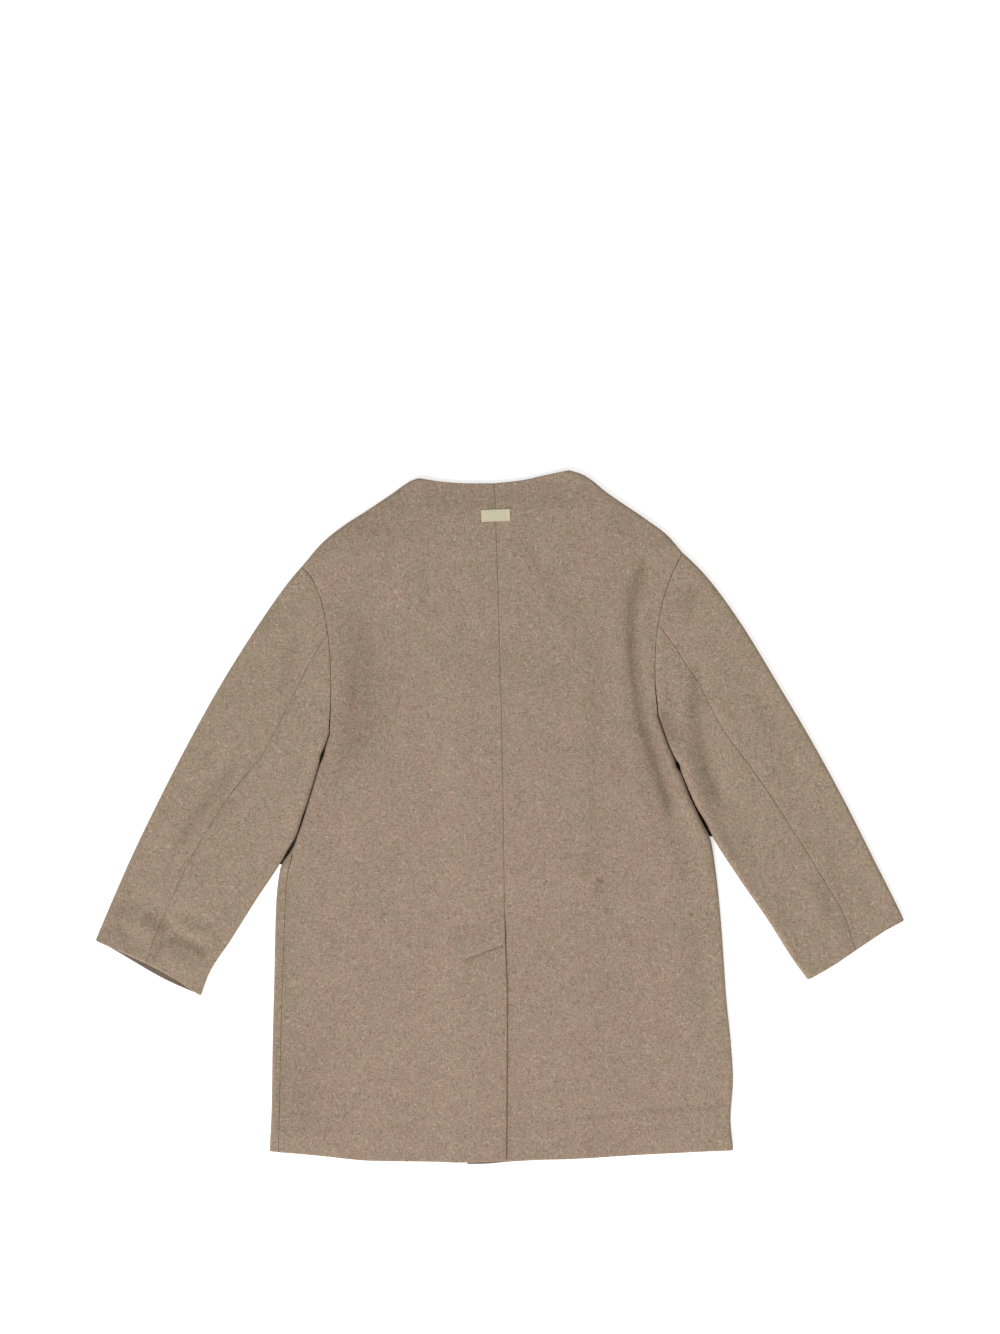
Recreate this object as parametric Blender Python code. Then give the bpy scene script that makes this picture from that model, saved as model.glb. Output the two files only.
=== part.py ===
"""Collarless double-breasted wool coat, laid flat on its front with its back up.

Every panel is a wall of cloth worked out from a mid-surface: a patch between the
garment's edges in plan, lifted to the height of its layer, rolled over where the
cloth folds at a side, a shoulder or a sleeve, and given its thickness along the
surface's normals. Lengths are in millimetres until a mesh is made, in metres.
X runs across the back, Y up the back to the neck and Z up from the surface.
"""
import math

import bpy
import numpy as np

MM = 0.001
WALL = 3.0               # melton cloth
HALF = WALL / 2
SEAM_GAP = 0.3           # between two pieces that meet at a seam
LAYER_GAP = 0.3          # between two layers that lie on each other
CENTRE_X = -0.15          # middle of the footprint in the tables' own frame
CENTRE_Y = 0.2135

# Driving sizes of the coat
HEM_Y = -438.5           # hem at the centre back
NECK_Y = 427.9           # neck at the centre back
LAP_LEFT_EDGE = 94.0     # free edge of the left front, which laps outside
LAP_RIGHT_EDGE = -42.0   # free edge of the right front, which laps inside
LAP_BREAK_Y = 160.0      # where the fronts part for the V neck
VENT_TOP = (6.9, -161.7)
VENT_UNDERLAP = (-44.0, -182.0)
BUTTON_RADIUS = 12.5
BUTTON_THICKNESS = 3.0
BUTTON_COLUMNS = {"outer": 67.0, "inner": -15.0}
BUTTON_ROWS = {"upper": 122.0, "lower": -14.0}
FRONT_GAP = 0.6          # between the two fronts, which curve over each other
NECK_BEND = 1.15         # how the free edges bend away along the V neck
SHOULDER_ROLL = 3.0
LABEL_WIDTH = 37.0
LABEL_DEPTH = 15.4
LABEL_CENTRE = (-5.5, 386.6)
LABEL_TURN = math.radians(2.3)
LABEL_THICKNESS = 0.9

# Body's side folds, a row for each section: y, x of the outline, radius of the
# roll, and how far the side seam lies round the roll from the fold, on top
LEFT_SIDE = (
    # y       x       roll  seam
    (-427.8, -295.7,  2.9,  12.0),
    (-368.0, -293.1,  2.9,  11.0),
    (-298.0, -292.1,  2.9,  11.0),
    (-214.5, -290.0,  2.9,  11.5),
    (-112.0, -287.4,  3.0,  12.5),
    (-66.0,  -282.0,  3.4,  12.5),
    (-29.8,  -262.8,  4.0,   5.5),
    (6.3,    -250.1,  4.3,   2.0),
    (40.2,   -239.4,  4.3,   0.0),
    (74.8,   -229.1,  4.0,   0.0),
    (108.0,  -218.2,  3.4,   0.0),
)
RIGHT_SIDE = (
    (-426.4,  299.4,  2.9,   0.0),
    (-387.3,  295.9,  2.9,   0.0),
    (-336.1,  299.0,  2.9,   0.0),
    (-291.3,  296.4,  2.9,   0.0),
    (-233.7,  290.6,  3.0,   0.0),
    (-156.9,  285.3,  3.0,   0.0),
    (-105.7,  281.0,  3.2,   0.0),
    (-57.1,   275.2,  3.8,   0.0),
    (-27.0,   270.0,  4.6,   0.0),
    (21.0,    246.5,  5.4,   0.0),
    (65.8,    228.0,  5.2,   0.0),
    (89.1,    217.3,  4.8,   0.0),
    (131.6,   202.2,  3.6,   0.0),
)
# Armhole seams as cubic curves: underarm, two handles, top
LEFT_ARMHOLE = ((-218.2, 108.0), (-215.0, 165.0), (-212.5, 290.0), (-253.3, 320.0))
RIGHT_ARMHOLE = ((202.2, 131.6), (194.0, 195.0), (196.0, 275.0), (233.4, 338.0))
# Neck and shoulders, from the centre back to the armhole: x, y
LEFT_NECK = ((-7.0, 427.9), (-40.0, 427.9), (-74.0, 430.0), (-104.0, 434.9))
LEFT_SHOULDER = ((-104.0, 434.9), (-111.2, 432.5), (-138.9, 414.0), (-169.6, 393.5),
                 (-201.2, 373.0), (-226.7, 352.5), (-254.3, 321.2))
RIGHT_NECK = ((-7.0, 427.9), (28.8, 432.0), (57.6, 438.3), (89.0, 445.1))
RIGHT_SHOULDER = ((89.0, 445.1), (104.5, 440.0), (139.9, 414.0), (185.3, 383.2),
                  (212.9, 362.8), (234.5, 339.1))
# Hem of the back from the centre to each side, and the centre-back line: x, y
LEFT_HEM = ((8.3, -438.5), (-44.8, -440.6), (-83.2, -441.2), (-160.0, -440.4),
            (-236.8, -433.3), (-295.7, -427.8))
RIGHT_HEM = ((8.3, -438.5), (93.4, -436.7), (204.8, -431.4), (299.4, -426.4))
CENTRE_BACK = ((8.3, -438.5), (9.3, -229.2), (6.9, -161.7), (3.2, 73.5),
               (-1.9, 271.9), (-7.0, 427.9))
# Hem of the fronts from the free edge to the side: x, y
LEFT_FRONT_HEM = ((94.0, -437.5), (40.0, -438.5), (-60.0, -439.5), (-160.0, -439.0),
                  (-236.8, -432.3), (-295.7, -427.8))
RIGHT_FRONT_HEM = ((-42.0, -444.6), (-20.6, -444.3), (12.8, -441.4), (51.2, -439.4),
                   (89.0, -438.4), (204.8, -431.0), (299.4, -426.4))
# Sleeve folds from the armhole to the cuff: x, y of the outline, radius of the roll
LEFT_OUTER = ((-254.3, 321.2, 3.0), (-271.0, 301.3, 3.1), (-305.5, 252.7, 3.4),
              (-354.3, 175.9, 3.6), (-397.4, 99.1, 3.6), (-436.9, 22.3, 3.5),
              (-473.9, -54.5, 3.4), (-496.4, -105.7, 3.4), (-518.4, -157.6, 3.4))
LEFT_INNER = ((-218.2, 108.0, 3.4), (-229.1, 74.8, 4.0), (-239.4, 40.2, 4.3),
              (-250.1, 6.3, 4.3), (-262.8, -29.8, 4.2), (-282.6, -62.0, 4.0),
              (-311.7, -105.7, 3.7), (-343.9, -156.9, 3.5), (-373.8, -203.8, 3.4),
              (-382.6, -228.6, 3.4))
RIGHT_OUTER = ((234.5, 339.1, 3.0), (262.1, 311.6, 3.2), (306.0, 252.7, 3.4),
               (353.2, 175.9, 3.6), (398.7, 99.1, 3.6), (440.7, 22.3, 3.6),
               (479.5, -54.5, 3.4), (505.3, -105.7, 3.3), (518.1, -132.0, 3.3))
RIGHT_INNER = ((202.2, 131.6, 3.6), (217.3, 89.1, 4.8), (228.0, 65.8, 5.2),
               (246.5, 21.0, 5.2), (271.6, -25.6, 4.6), (306.8, -80.1, 3.9),
               (342.3, -131.3, 3.5), (374.9, -182.5, 3.4), (393.9, -208.6, 3.4))
# Where the sleeve's back seam crosses each section, as a share of the top's width
# from the outer fold: length down the sleeve, share
LEFT_BACK_SEAM = ((0.0, 0.45), (0.15, 0.465), (0.33, 0.475), (0.53, 0.415), (0.7, 0.403),
                  (0.85, 0.43), (1.0, 0.47))
RIGHT_BACK_SEAM = ((0.0, 0.44), (0.18, 0.45), (0.32, 0.466), (0.5, 0.432), (0.75, 0.425),
                   (0.88, 0.42), (1.0, 0.50))
FRONT_SEAM_SHARE = 0.80       # the other seam, on the underside near the inner fold
UNDERSIDE_SHARES = (0.60, 0.40, 0.22)
# Bow of each cuff out along the sleeve: S-shaped part and plain part
LEFT_CUFF_TOP = (-0.7, 3.8)
LEFT_CUFF_UNDER = (1.0, -3.4)
RIGHT_CUFF_TOP = (1.6, 0.0)
RIGHT_CUFF_UNDER = (1.0, -1.5)

# How an edge lies inside its outline, and where the armhole's seam takes over
EDGE_EASE = 0.1
FOLD_EASE = 0.3
SLEEVE_EASE = 0.55
ARMHOLE_RISE = 10.0      # start of the armhole above the underarm
ARMHOLE_FADE = 18.0      # length up the armhole in which the fold turns into a seam
NECK_CORNER_SHARE = 0.06

# Upper layer: height of its middle, and what the lap, the neck and the hem change
LAYER_HEIGHT = 6.6
LAP_RISE = 2.8
NECK_DROP = 3.4
NECK_DROP_START = (388.0, 44.0)      # y, and the length in which it comes down
NECK_DROP_SIDE = (112.0, 34.0)
HEM_DROP = 1.2
HEM_DROP_START = (-400.0, 40.0)
LAP_EASE = 56.0
LAP_START = (60.0, 64.0)             # out from the right front's edge, and the left's
FOLD_REACH = 20.0        # within which a fold's own height tells
FOLD_CALM = 9.0          # within which the soft folds fade out
FLOOR_EASE = 0.2         # clear height over the fronts
FLOOR_SHARPNESS = 2.5
# Steps of a layer: how far out each starts, and the length in which it eases
LAP_STEP = (15.5, 13.0)
UNDER_STEP = (18.0, 14.0)
VENT_STEP_DOWN = (40.0, 18.0)
VENT_STEP_ACROSS = (18.0, 15.0)
SWELL_LEFT = (54.0, 34.0)
SWELL_RIGHT = (42.0, 36.0)
SWELL_ENDS = (104.0, 80.0)
LAP_CLEARANCE = 34.0     # how far down the right front waits for the left's edge

# Largest soft folds of the upper layer: start, end, how far the middle bows to
# the left of the way from start to end, half width and height
SOFT_FOLDS = (
    # x0     y0      x1     y1     bow    width  height
    (180.0, 322.0,  222.0, -40.0, -26.0,  15.0,  -2.8),   # right back, by the armhole
    (192.0, 210.0,  246.0,  10.0,  -4.0,  16.0,   2.6),   # ridge beside it
    (-213.0, 300.0, -176.0, 96.0,   6.0,  20.0,  -1.6),   # left back, by the armhole
    (-140.0, 320.0, -118.0, 230.0,  4.0,  34.0,   1.4),   # left shoulder blade
    (236.0, 232.0,  310.0, -62.0, -14.0,  12.0,  -2.4),   # right sleeve, inner half
    (-300.0, 100.0, -408.0, -70.0,  8.0,  15.0,  -1.8),   # left sleeve, by its seam
    (-470.0, -96.0, -392.0, -186.0, 6.0,  16.0,  -1.8),   # left cuff
    (424.0, -34.0,  452.0, -164.0,  4.0,  11.0,  -1.5),   # right cuff
)


def pchip(knots, values, where):
    """Shape-keeping cubic through values at rising knots, read at where."""
    x = np.asarray(knots, float)
    y = np.asarray(values, float)
    q = np.clip(np.asarray(where, float), x[0], x[-1])
    step = np.diff(x)
    slope = np.diff(y) / step
    tangent = np.zeros_like(y)
    for i in range(1, len(x) - 1):
        if slope[i - 1] * slope[i] > 0:
            a = 2 * step[i] + step[i - 1]
            b = step[i] + 2 * step[i - 1]
            tangent[i] = (a + b) / (a / slope[i - 1] + b / slope[i])
    tangent[0] = slope[0]
    tangent[-1] = slope[-1]
    k = np.clip(np.searchsorted(x, q, side="right") - 1, 0, len(step) - 1)
    t = (q - x[k]) / step[k]
    return (y[k] * (1 + 2 * t) * (1 - t) ** 2 + tangent[k] * step[k] * t * (1 - t) ** 2
            + y[k + 1] * t * t * (3 - 2 * t) - tangent[k + 1] * step[k] * t * t * (1 - t))


def smooth(value):
    """Eased step from 0 to 1 as value goes from 0 to 1."""
    t = np.clip(value, 0.0, 1.0)
    return t * t * (3 - 2 * t)


def along(rows, share):
    """Columns of a table of points, read at a share of the curve's length."""
    table = np.asarray(rows, float)
    lengths = np.hypot(np.diff(table[:, 0]), np.diff(table[:, 1]))
    knots = np.concatenate(([0.0], np.cumsum(lengths))) / lengths.sum()
    return np.stack([pchip(knots, column, share) for column in table.T], axis=-1)


def cubic(points, t):
    """Cubic Bezier curve of four points."""
    p = np.asarray(points, float)
    t = np.asarray(t, float)[..., None]
    return ((1 - t) ** 3 * p[0] + 3 * t * (1 - t) ** 2 * p[1]
            + 3 * t * t * (1 - t) * p[2] + t ** 3 * p[3])


def unit(vectors):
    """Vectors scaled to length one."""
    return vectors / np.maximum(np.linalg.norm(vectors, axis=-1, keepdims=True), 1e-9)


def outward(curve, value, side):
    """Unit normal in plan of a curve, on the side that side (+1 or -1) picks."""
    low = np.clip(value - 0.004, 0.0, 1.0)
    high = np.clip(value + 0.004, 0.0, 1.0)
    tangent = unit(curve(high) - curve(low))
    return side * np.stack([tangent[..., 1], -tangent[..., 0]], axis=-1)


class Half:
    """One half of the body: its outline in plan and how its edges roll.

    Rows run from v = 0 at the hem to v = 1 at the neck and shoulder.
    """

    def __init__(self, sign, side, armhole, neck, shoulder):
        self.sign = sign
        self.side = np.asarray(side, float)
        self.armhole = armhole
        self.neck = neck
        self.shoulder = shoulder
        self.underarm_y = self.side[-1, 0]
        self.underarm_v = (self.underarm_y + ARMHOLE_RISE - HEM_Y) / (NECK_Y - HEM_Y)
        neck_length = np.hypot(*np.diff(np.asarray(neck), axis=0).T).sum()
        shoulder_length = np.hypot(*np.diff(np.asarray(shoulder), axis=0).T).sum()
        self.neck_share = neck_length / (neck_length + shoulder_length)

    def side_y(self, v):
        """Height up the coat of the side fold in row v."""
        bottom = self.side[0, 0]
        return bottom + (self.underarm_y - bottom) * np.clip(v / self.underarm_v, 0, 1)

    def outline(self, v):
        """Outline of the side, then of the armhole."""
        v = np.asarray(v, float)
        y = self.side_y(v)
        fold = np.stack([pchip(self.side[:, 0], self.side[:, 1], y), y], axis=-1)
        up = np.clip((v - self.underarm_v) / (1 - self.underarm_v), 0, 1)
        return np.where((v > self.underarm_v)[..., None], cubic(self.armhole, up), fold)

    def roll(self, v):
        """Radius of the side's roll in row v."""
        return pchip(self.side[:, 0], self.side[:, 2], self.side_y(v))

    def seam(self, v):
        """How far the side seam lies round the roll from the fold, on top."""
        return pchip(self.side[:, 0], self.side[:, 3], self.side_y(v))

    def fold_weight(self, v):
        """1 where the side is a fold, easing to 0 just up the armhole seam."""
        climb = np.linalg.norm(self.outline(v) - self.outline(self.underarm_v), axis=-1)
        rise = np.sqrt(1 - (1 - np.clip(climb / ARMHOLE_FADE, 0, 1)) ** 2)
        return np.where(v > self.underarm_v, 1 - rise, 1.0)

    def edge(self, v):
        """Mid-surface at the side: the outline moved in by half a wall."""
        inset = SEAM_GAP / 2 + EDGE_EASE + (HALF + FOLD_EASE) * self.fold_weight(v)
        return self.outline(v) - outward(self.outline, v, self.sign) * inset[..., None]

    def back_top(self, u):
        """Neck and shoulder of the back, from the centre to the armhole."""
        u = np.asarray(u, float)
        neck = along(self.neck, np.clip(u / self.neck_share, 0, 1))
        slope = along(self.shoulder, np.clip((u - self.neck_share) / (1 - self.neck_share), 0, 1))
        line = np.where((u < self.neck_share)[..., None], neck, slope)
        return line - np.array([0.0, 1.0]) * (HALF * self.back_top_weight(u))[..., None]

    def back_top_weight(self, u):
        """0 along the cut neck, 1 along the folded shoulder."""
        return smooth(1 + (u - self.neck_share) / NECK_CORNER_SHARE)

    def front_top(self, u):
        """Shoulder of the front, from the neck corner to the armhole."""
        return along(self.shoulder, u) - np.array([0.0, HALF])


LEFT = Half(-1, LEFT_SIDE, LEFT_ARMHOLE, LEFT_NECK, LEFT_SHOULDER)
RIGHT = Half(1, RIGHT_SIDE, RIGHT_ARMHOLE, RIGHT_NECK, RIGHT_SHOULDER)


class Sleeve:
    """A flattened sleeve: v runs from the armhole to the cuff, u from the outer
    fold to the inner fold."""

    def __init__(self, half, outer, inner, back_seam, cuff_top, cuff_under):
        self.half = half
        self.outer_rows = outer
        self.inner_rows = inner
        self.back_seam_rows = np.asarray(back_seam)
        self.cuffs = {1: cuff_top, -1: cuff_under}

    def outer(self, v):
        """Mid-surface at the outer fold."""
        def line(share):
            """Outline of the fold."""
            return along(self.outer_rows, share)[..., :2]
        return line(v) - outward(line, v, -self.half.sign) * HALF

    def inner(self, v):
        """Mid-surface at the inner fold."""
        def line(share):
            """Outline of the fold."""
            return along(self.inner_rows, share)[..., :2]
        return line(v) - outward(line, v, self.half.sign) * (HALF + SLEEVE_EASE)

    def roll(self, v, u):
        """Radius of the roll at the nearer fold."""
        outer = along(self.outer_rows, v)[..., 2]
        inner = along(self.inner_rows, v)[..., 2]
        return np.where(u < 0.5, outer, inner)

    def armhole(self, u):
        """Armhole seam from the outer fold to the underarm."""
        return cubic(self.half.armhole, 1 - np.asarray(u, float))

    def cuff(self, u, sheet):
        """Cuff of the top (+1) or the underside (-1)."""
        wave, plain = self.cuffs[sheet]
        outer = self.outer(np.ones_like(u))
        inner = self.inner(np.ones_like(u))
        chord = unit(inner - outer)
        down = np.stack([chord[..., 1], -chord[..., 0]], axis=-1) * -self.half.sign
        bow = -(wave * np.sin(2 * math.pi * u) + plain * np.sin(math.pi * u))
        return outer + (inner - outer) * u[..., None] + down * bow[..., None]

    def back_seam(self, v):
        """Share of the width at which the back seam lies."""
        return pchip(self.back_seam_rows[:, 0], self.back_seam_rows[:, 1], v)


LEFT_SLEEVE = Sleeve(LEFT, LEFT_OUTER, LEFT_INNER, LEFT_BACK_SEAM,
                     LEFT_CUFF_TOP, LEFT_CUFF_UNDER)
RIGHT_SLEEVE = Sleeve(RIGHT, RIGHT_OUTER, RIGHT_INNER, RIGHT_BACK_SEAM,
                      RIGHT_CUFF_TOP, RIGHT_CUFF_UNDER)


def patch(start, end, low, high, u, v):
    """Plan of a patch between its four edges: start(v) at u = 0, end(v) at u = 1,
    low(u) at v = 0 and high(u) at v = 1. The last two are drawn to the corners
    that the first two give."""
    zero = np.zeros_like(u)
    one = np.ones_like(u)
    a = u[..., None]
    b = v[..., None]
    near = (1 - a) ** 6
    far = a ** 6
    bottom = low(u) + (start(zero) - low(zero)) * near + (end(zero) - low(one)) * far
    top = high(u) + (start(one) - high(zero)) * near + (end(one) - high(one)) * far
    ruled = start(v) * (1 - a) + end(v) * a
    corners = ((start(zero) * (1 - a) + end(zero) * a) * (1 - b)
               + (start(one) * (1 - a) + end(one) * a) * b)
    return ruled + bottom * (1 - b) + top * b - corners


def fold_lines():
    """Every folded edge as rows of x, y and roll radius, a few millimetres apart."""
    rows = []
    for half in (LEFT, RIGHT):
        v = np.linspace(0, half.underarm_v, 140)
        rows.append(np.column_stack([half.edge(v), half.roll(v)]))
        u = np.linspace(0, 1, 50)
        rows.append(np.column_stack([half.front_top(u), np.full(50, SHOULDER_ROLL)]))
    for sleeve in (LEFT_SLEEVE, RIGHT_SLEEVE):
        v = np.linspace(0, 1, 130)
        rows.append(np.column_stack([sleeve.outer(v), sleeve.roll(v, 0.0)]))
        rows.append(np.column_stack([sleeve.inner(v), sleeve.roll(v, 1.0)]))
    return np.concatenate(rows)


FOLD_LINES = fold_lines()


def nearest_fold(x, y):
    """Distance to the nearest folded edge, and the radius of its roll."""
    reach = np.hypot(x[..., None] - FOLD_LINES[:, 0], y[..., None] - FOLD_LINES[:, 1])
    index = reach.argmin(axis=-1)
    return reach.min(axis=-1), FOLD_LINES[index, 2]


def soft_folds(x, y):
    """Height that the soft folds add to the upper layer."""
    total = np.zeros_like(x)
    for x0, y0, x1, y1, bow, width, height in SOFT_FOLDS:
        length = math.hypot(x1 - x0, y1 - y0)
        tx, ty = (x1 - x0) / length, (y1 - y0) / length
        s = np.clip(((x - x0) * tx + (y - y0) * ty) / length, -0.3, 1.3)
        across = -(x - x0) * ty + (y - y0) * tx - bow * 4 * s * (1 - s)
        fade = smooth((s + 0.12) / 0.3) * smooth((1.12 - s) / 0.3)
        total += height * fade * np.exp(-(across / width) ** 2)
    return total


def left_front_edge(y):
    """X of the left front's free edge: straight, then away along the V neck."""
    corner_x, corner_y = LEFT_SHOULDER[0]
    climb = np.clip((y - LAP_BREAK_Y) / (corner_y - LAP_BREAK_Y), 0, 1)
    return LAP_LEFT_EDGE + (corner_x - LAP_LEFT_EDGE) * climb ** NECK_BEND


def lap_reach(y):
    """X up to which the right front is held up: past the left front's edge where
    that edge slants away, so that the cloth comes down clear of it."""
    return left_front_edge(y - LAP_CLEARANCE)


def right_front_edge(y):
    """X of the right front's free edge."""
    corner_x, corner_y = RIGHT_SHOULDER[0]
    climb = np.clip((y - LAP_BREAK_Y) / (corner_y - LAP_BREAK_Y), 0, 1)
    return LAP_RIGHT_EDGE + (corner_x - LAP_RIGHT_EDGE) * climb ** NECK_BEND


def button_places():
    """Name and centre of each button."""
    return [(f"button_{row}_{column}", x, y) for row, y in BUTTON_ROWS.items()
            for column, x in BUTTON_COLUMNS.items()]


def button_swell(x, y):
    """Lift of the cloth that rests on the four buttons."""
    left = BUTTON_COLUMNS["inner"] - BUTTON_RADIUS
    low = BUTTON_ROWS["lower"] - BUTTON_RADIUS
    high = BUTTON_ROWS["upper"] + BUTTON_RADIUS
    across = (smooth((x - left + SWELL_LEFT[0]) / SWELL_LEFT[1])
              * smooth((LAP_LEFT_EDGE + SWELL_RIGHT[0] - x) / SWELL_RIGHT[1]))
    up_the_back = (smooth((y - low + SWELL_ENDS[0]) / SWELL_ENDS[1])
                   * smooth((high + SWELL_ENDS[0] - y) / SWELL_ENDS[1]))
    return (BUTTON_THICKNESS + LAYER_GAP) * across * up_the_back


def left_front_height(x, y):
    """Mid height of the left front, which lies on the surface."""
    return HALF + button_swell(x, y)


def right_front_height(x, y):
    """Mid height of the right front, which steps up onto the left front."""
    step = smooth((lap_reach(y) + LAP_STEP[0] - x) / LAP_STEP[1])
    return HALF + (WALL + FRONT_GAP) * step + button_swell(x, y)


def sleeve_under_height(x, y):
    """Mid height of the underside of a sleeve, flat on the surface."""
    return np.full_like(x, HALF)


def upper_height(x, y):
    """Mid height of the upper layer of the body and the sleeves."""
    reach, roll = nearest_fold(x, y)
    from_left = x - right_front_edge(y)
    from_right = lap_reach(y) - x
    lapped = (smooth((from_left + LAP_START[0]) / LAP_EASE)
              * smooth((from_right + LAP_START[1]) / LAP_EASE))
    at_neck = (smooth((y - NECK_DROP_START[0]) / NECK_DROP_START[1])
               * smooth((NECK_DROP_SIDE[0] - np.abs(x)) / NECK_DROP_SIDE[1]))
    at_hem = smooth((HEM_DROP_START[0] - y) / HEM_DROP_START[1]) * (1 - lapped)
    base = (LAYER_HEIGHT + LAP_RISE * lapped + button_swell(x, y)
            - NECK_DROP * at_neck - HEM_DROP * at_hem)
    edge = np.exp(-(reach / FOLD_REACH) ** 2)
    folds = soft_folds(x, y) * (1 - np.exp(-(reach / FOLD_CALM) ** 2))
    height = base + (HALF + 2 * roll - base) * edge + folds
    step = (smooth((from_left + UNDER_STEP[0]) / UNDER_STEP[1])
            * smooth((from_right + UNDER_STEP[0]) / UNDER_STEP[1]))
    floor = (HALF + WALL + LAYER_GAP + FLOOR_EASE + (WALL + FRONT_GAP) * step
             + button_swell(x, y))
    return floor + np.logaddexp(0, (height - floor) * FLOOR_SHARPNESS) / FLOOR_SHARPNESS


def vent_lift(x, y):
    """Extra height of the left back where it laps over the vent's underlap."""
    slope = (VENT_UNDERLAP[1] - VENT_TOP[1]) / (VENT_UNDERLAP[0] - VENT_TOP[0])
    top = VENT_TOP[1] + slope * (x - VENT_TOP[0])
    down = smooth((top + VENT_STEP_DOWN[0] - y) / VENT_STEP_DOWN[1])
    across = smooth((x - VENT_UNDERLAP[0] + VENT_STEP_ACROSS[0]) / VENT_STEP_ACROSS[1])
    return (WALL + LAYER_GAP) * down * across


def left_back_height(x, y):
    """Mid height of the left back."""
    return upper_height(x, y) + vent_lift(x, y)


def surface(x, y, height, sheet, equator, keep, side_normal):
    """Mid-surface points and outward normals.

    height gives the layer's own height, equator the height of the nearest fold,
    keep how much of the layer's height is left as it rolls (1 inside, 0 at the
    fold) and side_normal the plan normal, scaled by how steeply the cloth rolls.
    """
    z = height(x, y)
    slope_x = height(x + 0.5, y) - height(x - 0.5, y)
    slope_y = height(x, y + 0.5) - height(x, y - 0.5)
    up = unit(np.stack([-slope_x, -slope_y, np.ones_like(x)], axis=-1)) * sheet
    rest = equator + sheet * SEAM_GAP / 2
    mid = np.stack([x, y, rest + (z - rest) * keep], axis=-1)
    plan = np.concatenate([side_normal, np.zeros_like(x)[..., None]], axis=-1)
    return mid, unit(up * keep[..., None] + plan)


def wall_mesh(name, mid, normal, thickness, colour):
    """Closed wall about a grid of mid-surface points."""
    rows, columns = mid.shape[:2]
    outer = (mid + normal * thickness / 2).reshape(-1, 3)
    inner = (mid - normal * thickness / 2).reshape(-1, 3)
    points = np.concatenate([outer, inner])
    points[:, 2] = np.maximum(points[:, 2], 0.0)
    shift = rows * columns
    faces = []
    for i in range(rows - 1):
        for j in range(columns - 1):
            a = i * columns + j
            b, c, d = a + 1, a + columns + 1, a + columns
            faces += [(a, b, c), (a, c, d)]
            faces += [(a + shift, c + shift, b + shift), (a + shift, d + shift, c + shift)]
    top = list(range(columns))
    right = [i * columns + columns - 1 for i in range(rows)]
    bottom = [(rows - 1) * columns + j for j in reversed(range(columns))]
    left = [i * columns for i in reversed(range(rows))]
    ring = top + right[1:] + bottom[1:] + left[1:-1]
    for a, b in zip(ring, ring[1:] + ring[:1]):
        faces += [(b, a, a + shift), (b, a + shift, b + shift)]
    return make_object(name, points, faces, colour)


def make_object(name, points, faces, colour):
    """Object of a closed triangle mesh given in millimetres, its faces outwards."""
    points = (np.asarray(points, float) - [CENTRE_X, CENTRE_Y, 0.0]) * MM
    a, b, c = (points[[face[k] for face in faces]] for k in range(3))
    if np.einsum("ij,ij->i", a, np.cross(b, c)).sum() < 0:
        faces = [face[::-1] for face in faces]
    mesh = bpy.data.meshes.new(name)
    mesh.from_pydata(points.tolist(), [], [tuple(face) for face in faces])
    mesh.shade_smooth()
    mesh.set_sharp_from_angle(angle=math.radians(40))
    mesh.validate()
    piece = bpy.data.objects.new(name, mesh)
    bpy.context.scene.collection.objects.link(piece)
    piece.data.materials.append(plain_material(name, *colour))
    return piece


def plain_material(name, red, green, blue, roughness):
    """Plain finish of one piece."""
    material = bpy.data.materials.new(name + "_finish")
    material.use_nodes = True
    shader = material.node_tree.nodes["Principled BSDF"]
    shader.inputs["Base Color"].default_value = (red, green, blue, 1.0)
    shader.inputs["Roughness"].default_value = roughness
    shader.inputs["Metallic"].default_value = 0.0
    return material


WOOL = (0.345, 0.257, 0.188, 0.95)
WOVEN = (0.55, 0.51, 0.40, 0.75)
HORN = (0.16, 0.11, 0.075, 0.40)

ROLL_ANGLES = (0.0, 30.0, 60.0, 90.0)      # points round a quarter of a roll
SIDE_STEPS = (9.0, 20.0, 34.0, 52.0)       # columns inside the roll, from its top
TOP_STEPS = (8.0, 22.0)                    # rows inside the shoulder's roll
EVEN_ROWS = 27
ROW_LEAST = 0.015                          # rows closer than this are left out
TOP_MARGIN = 44.0                          # even rows end this far below the neck
SEAM_ON_TOP = 0.2                          # a side seam nearer the fold is at the fold
WRAP_SHARES = (0.0, 0.16, 0.36, 0.62, 1.0)
SLEEVE_LEVELS = (0.0006, 0.02)             # first rows of a sleeve, by the armhole
SLEEVE_START = 0.055                       # its even rows start here
SLEEVE_ROWS = 17
SLEEVE_STEPS = (10.0, 24.0)                # columns inside a sleeve's fold
ROLL_CAPS = (0.0, 0.02, 0.055, 0.10, 0.18, 0.28)   # most that each may take of the width
BUTTON_SIDES = 16
BUTTON_ROUND = (0.8, 0.7)                  # rounding of a button's rim, in and down


def round_roll(length, radius, weight):
    """Angle and plan distance from the fold, for a length round the roll."""
    turn = np.clip(length / radius, -math.pi / 2, math.pi / 2)
    beyond = np.abs(length) - np.abs(turn) * radius
    plan = radius * (1 - np.cos(turn)) + beyond
    return turn, plan * weight + np.abs(length) * (1 - weight)


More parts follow.
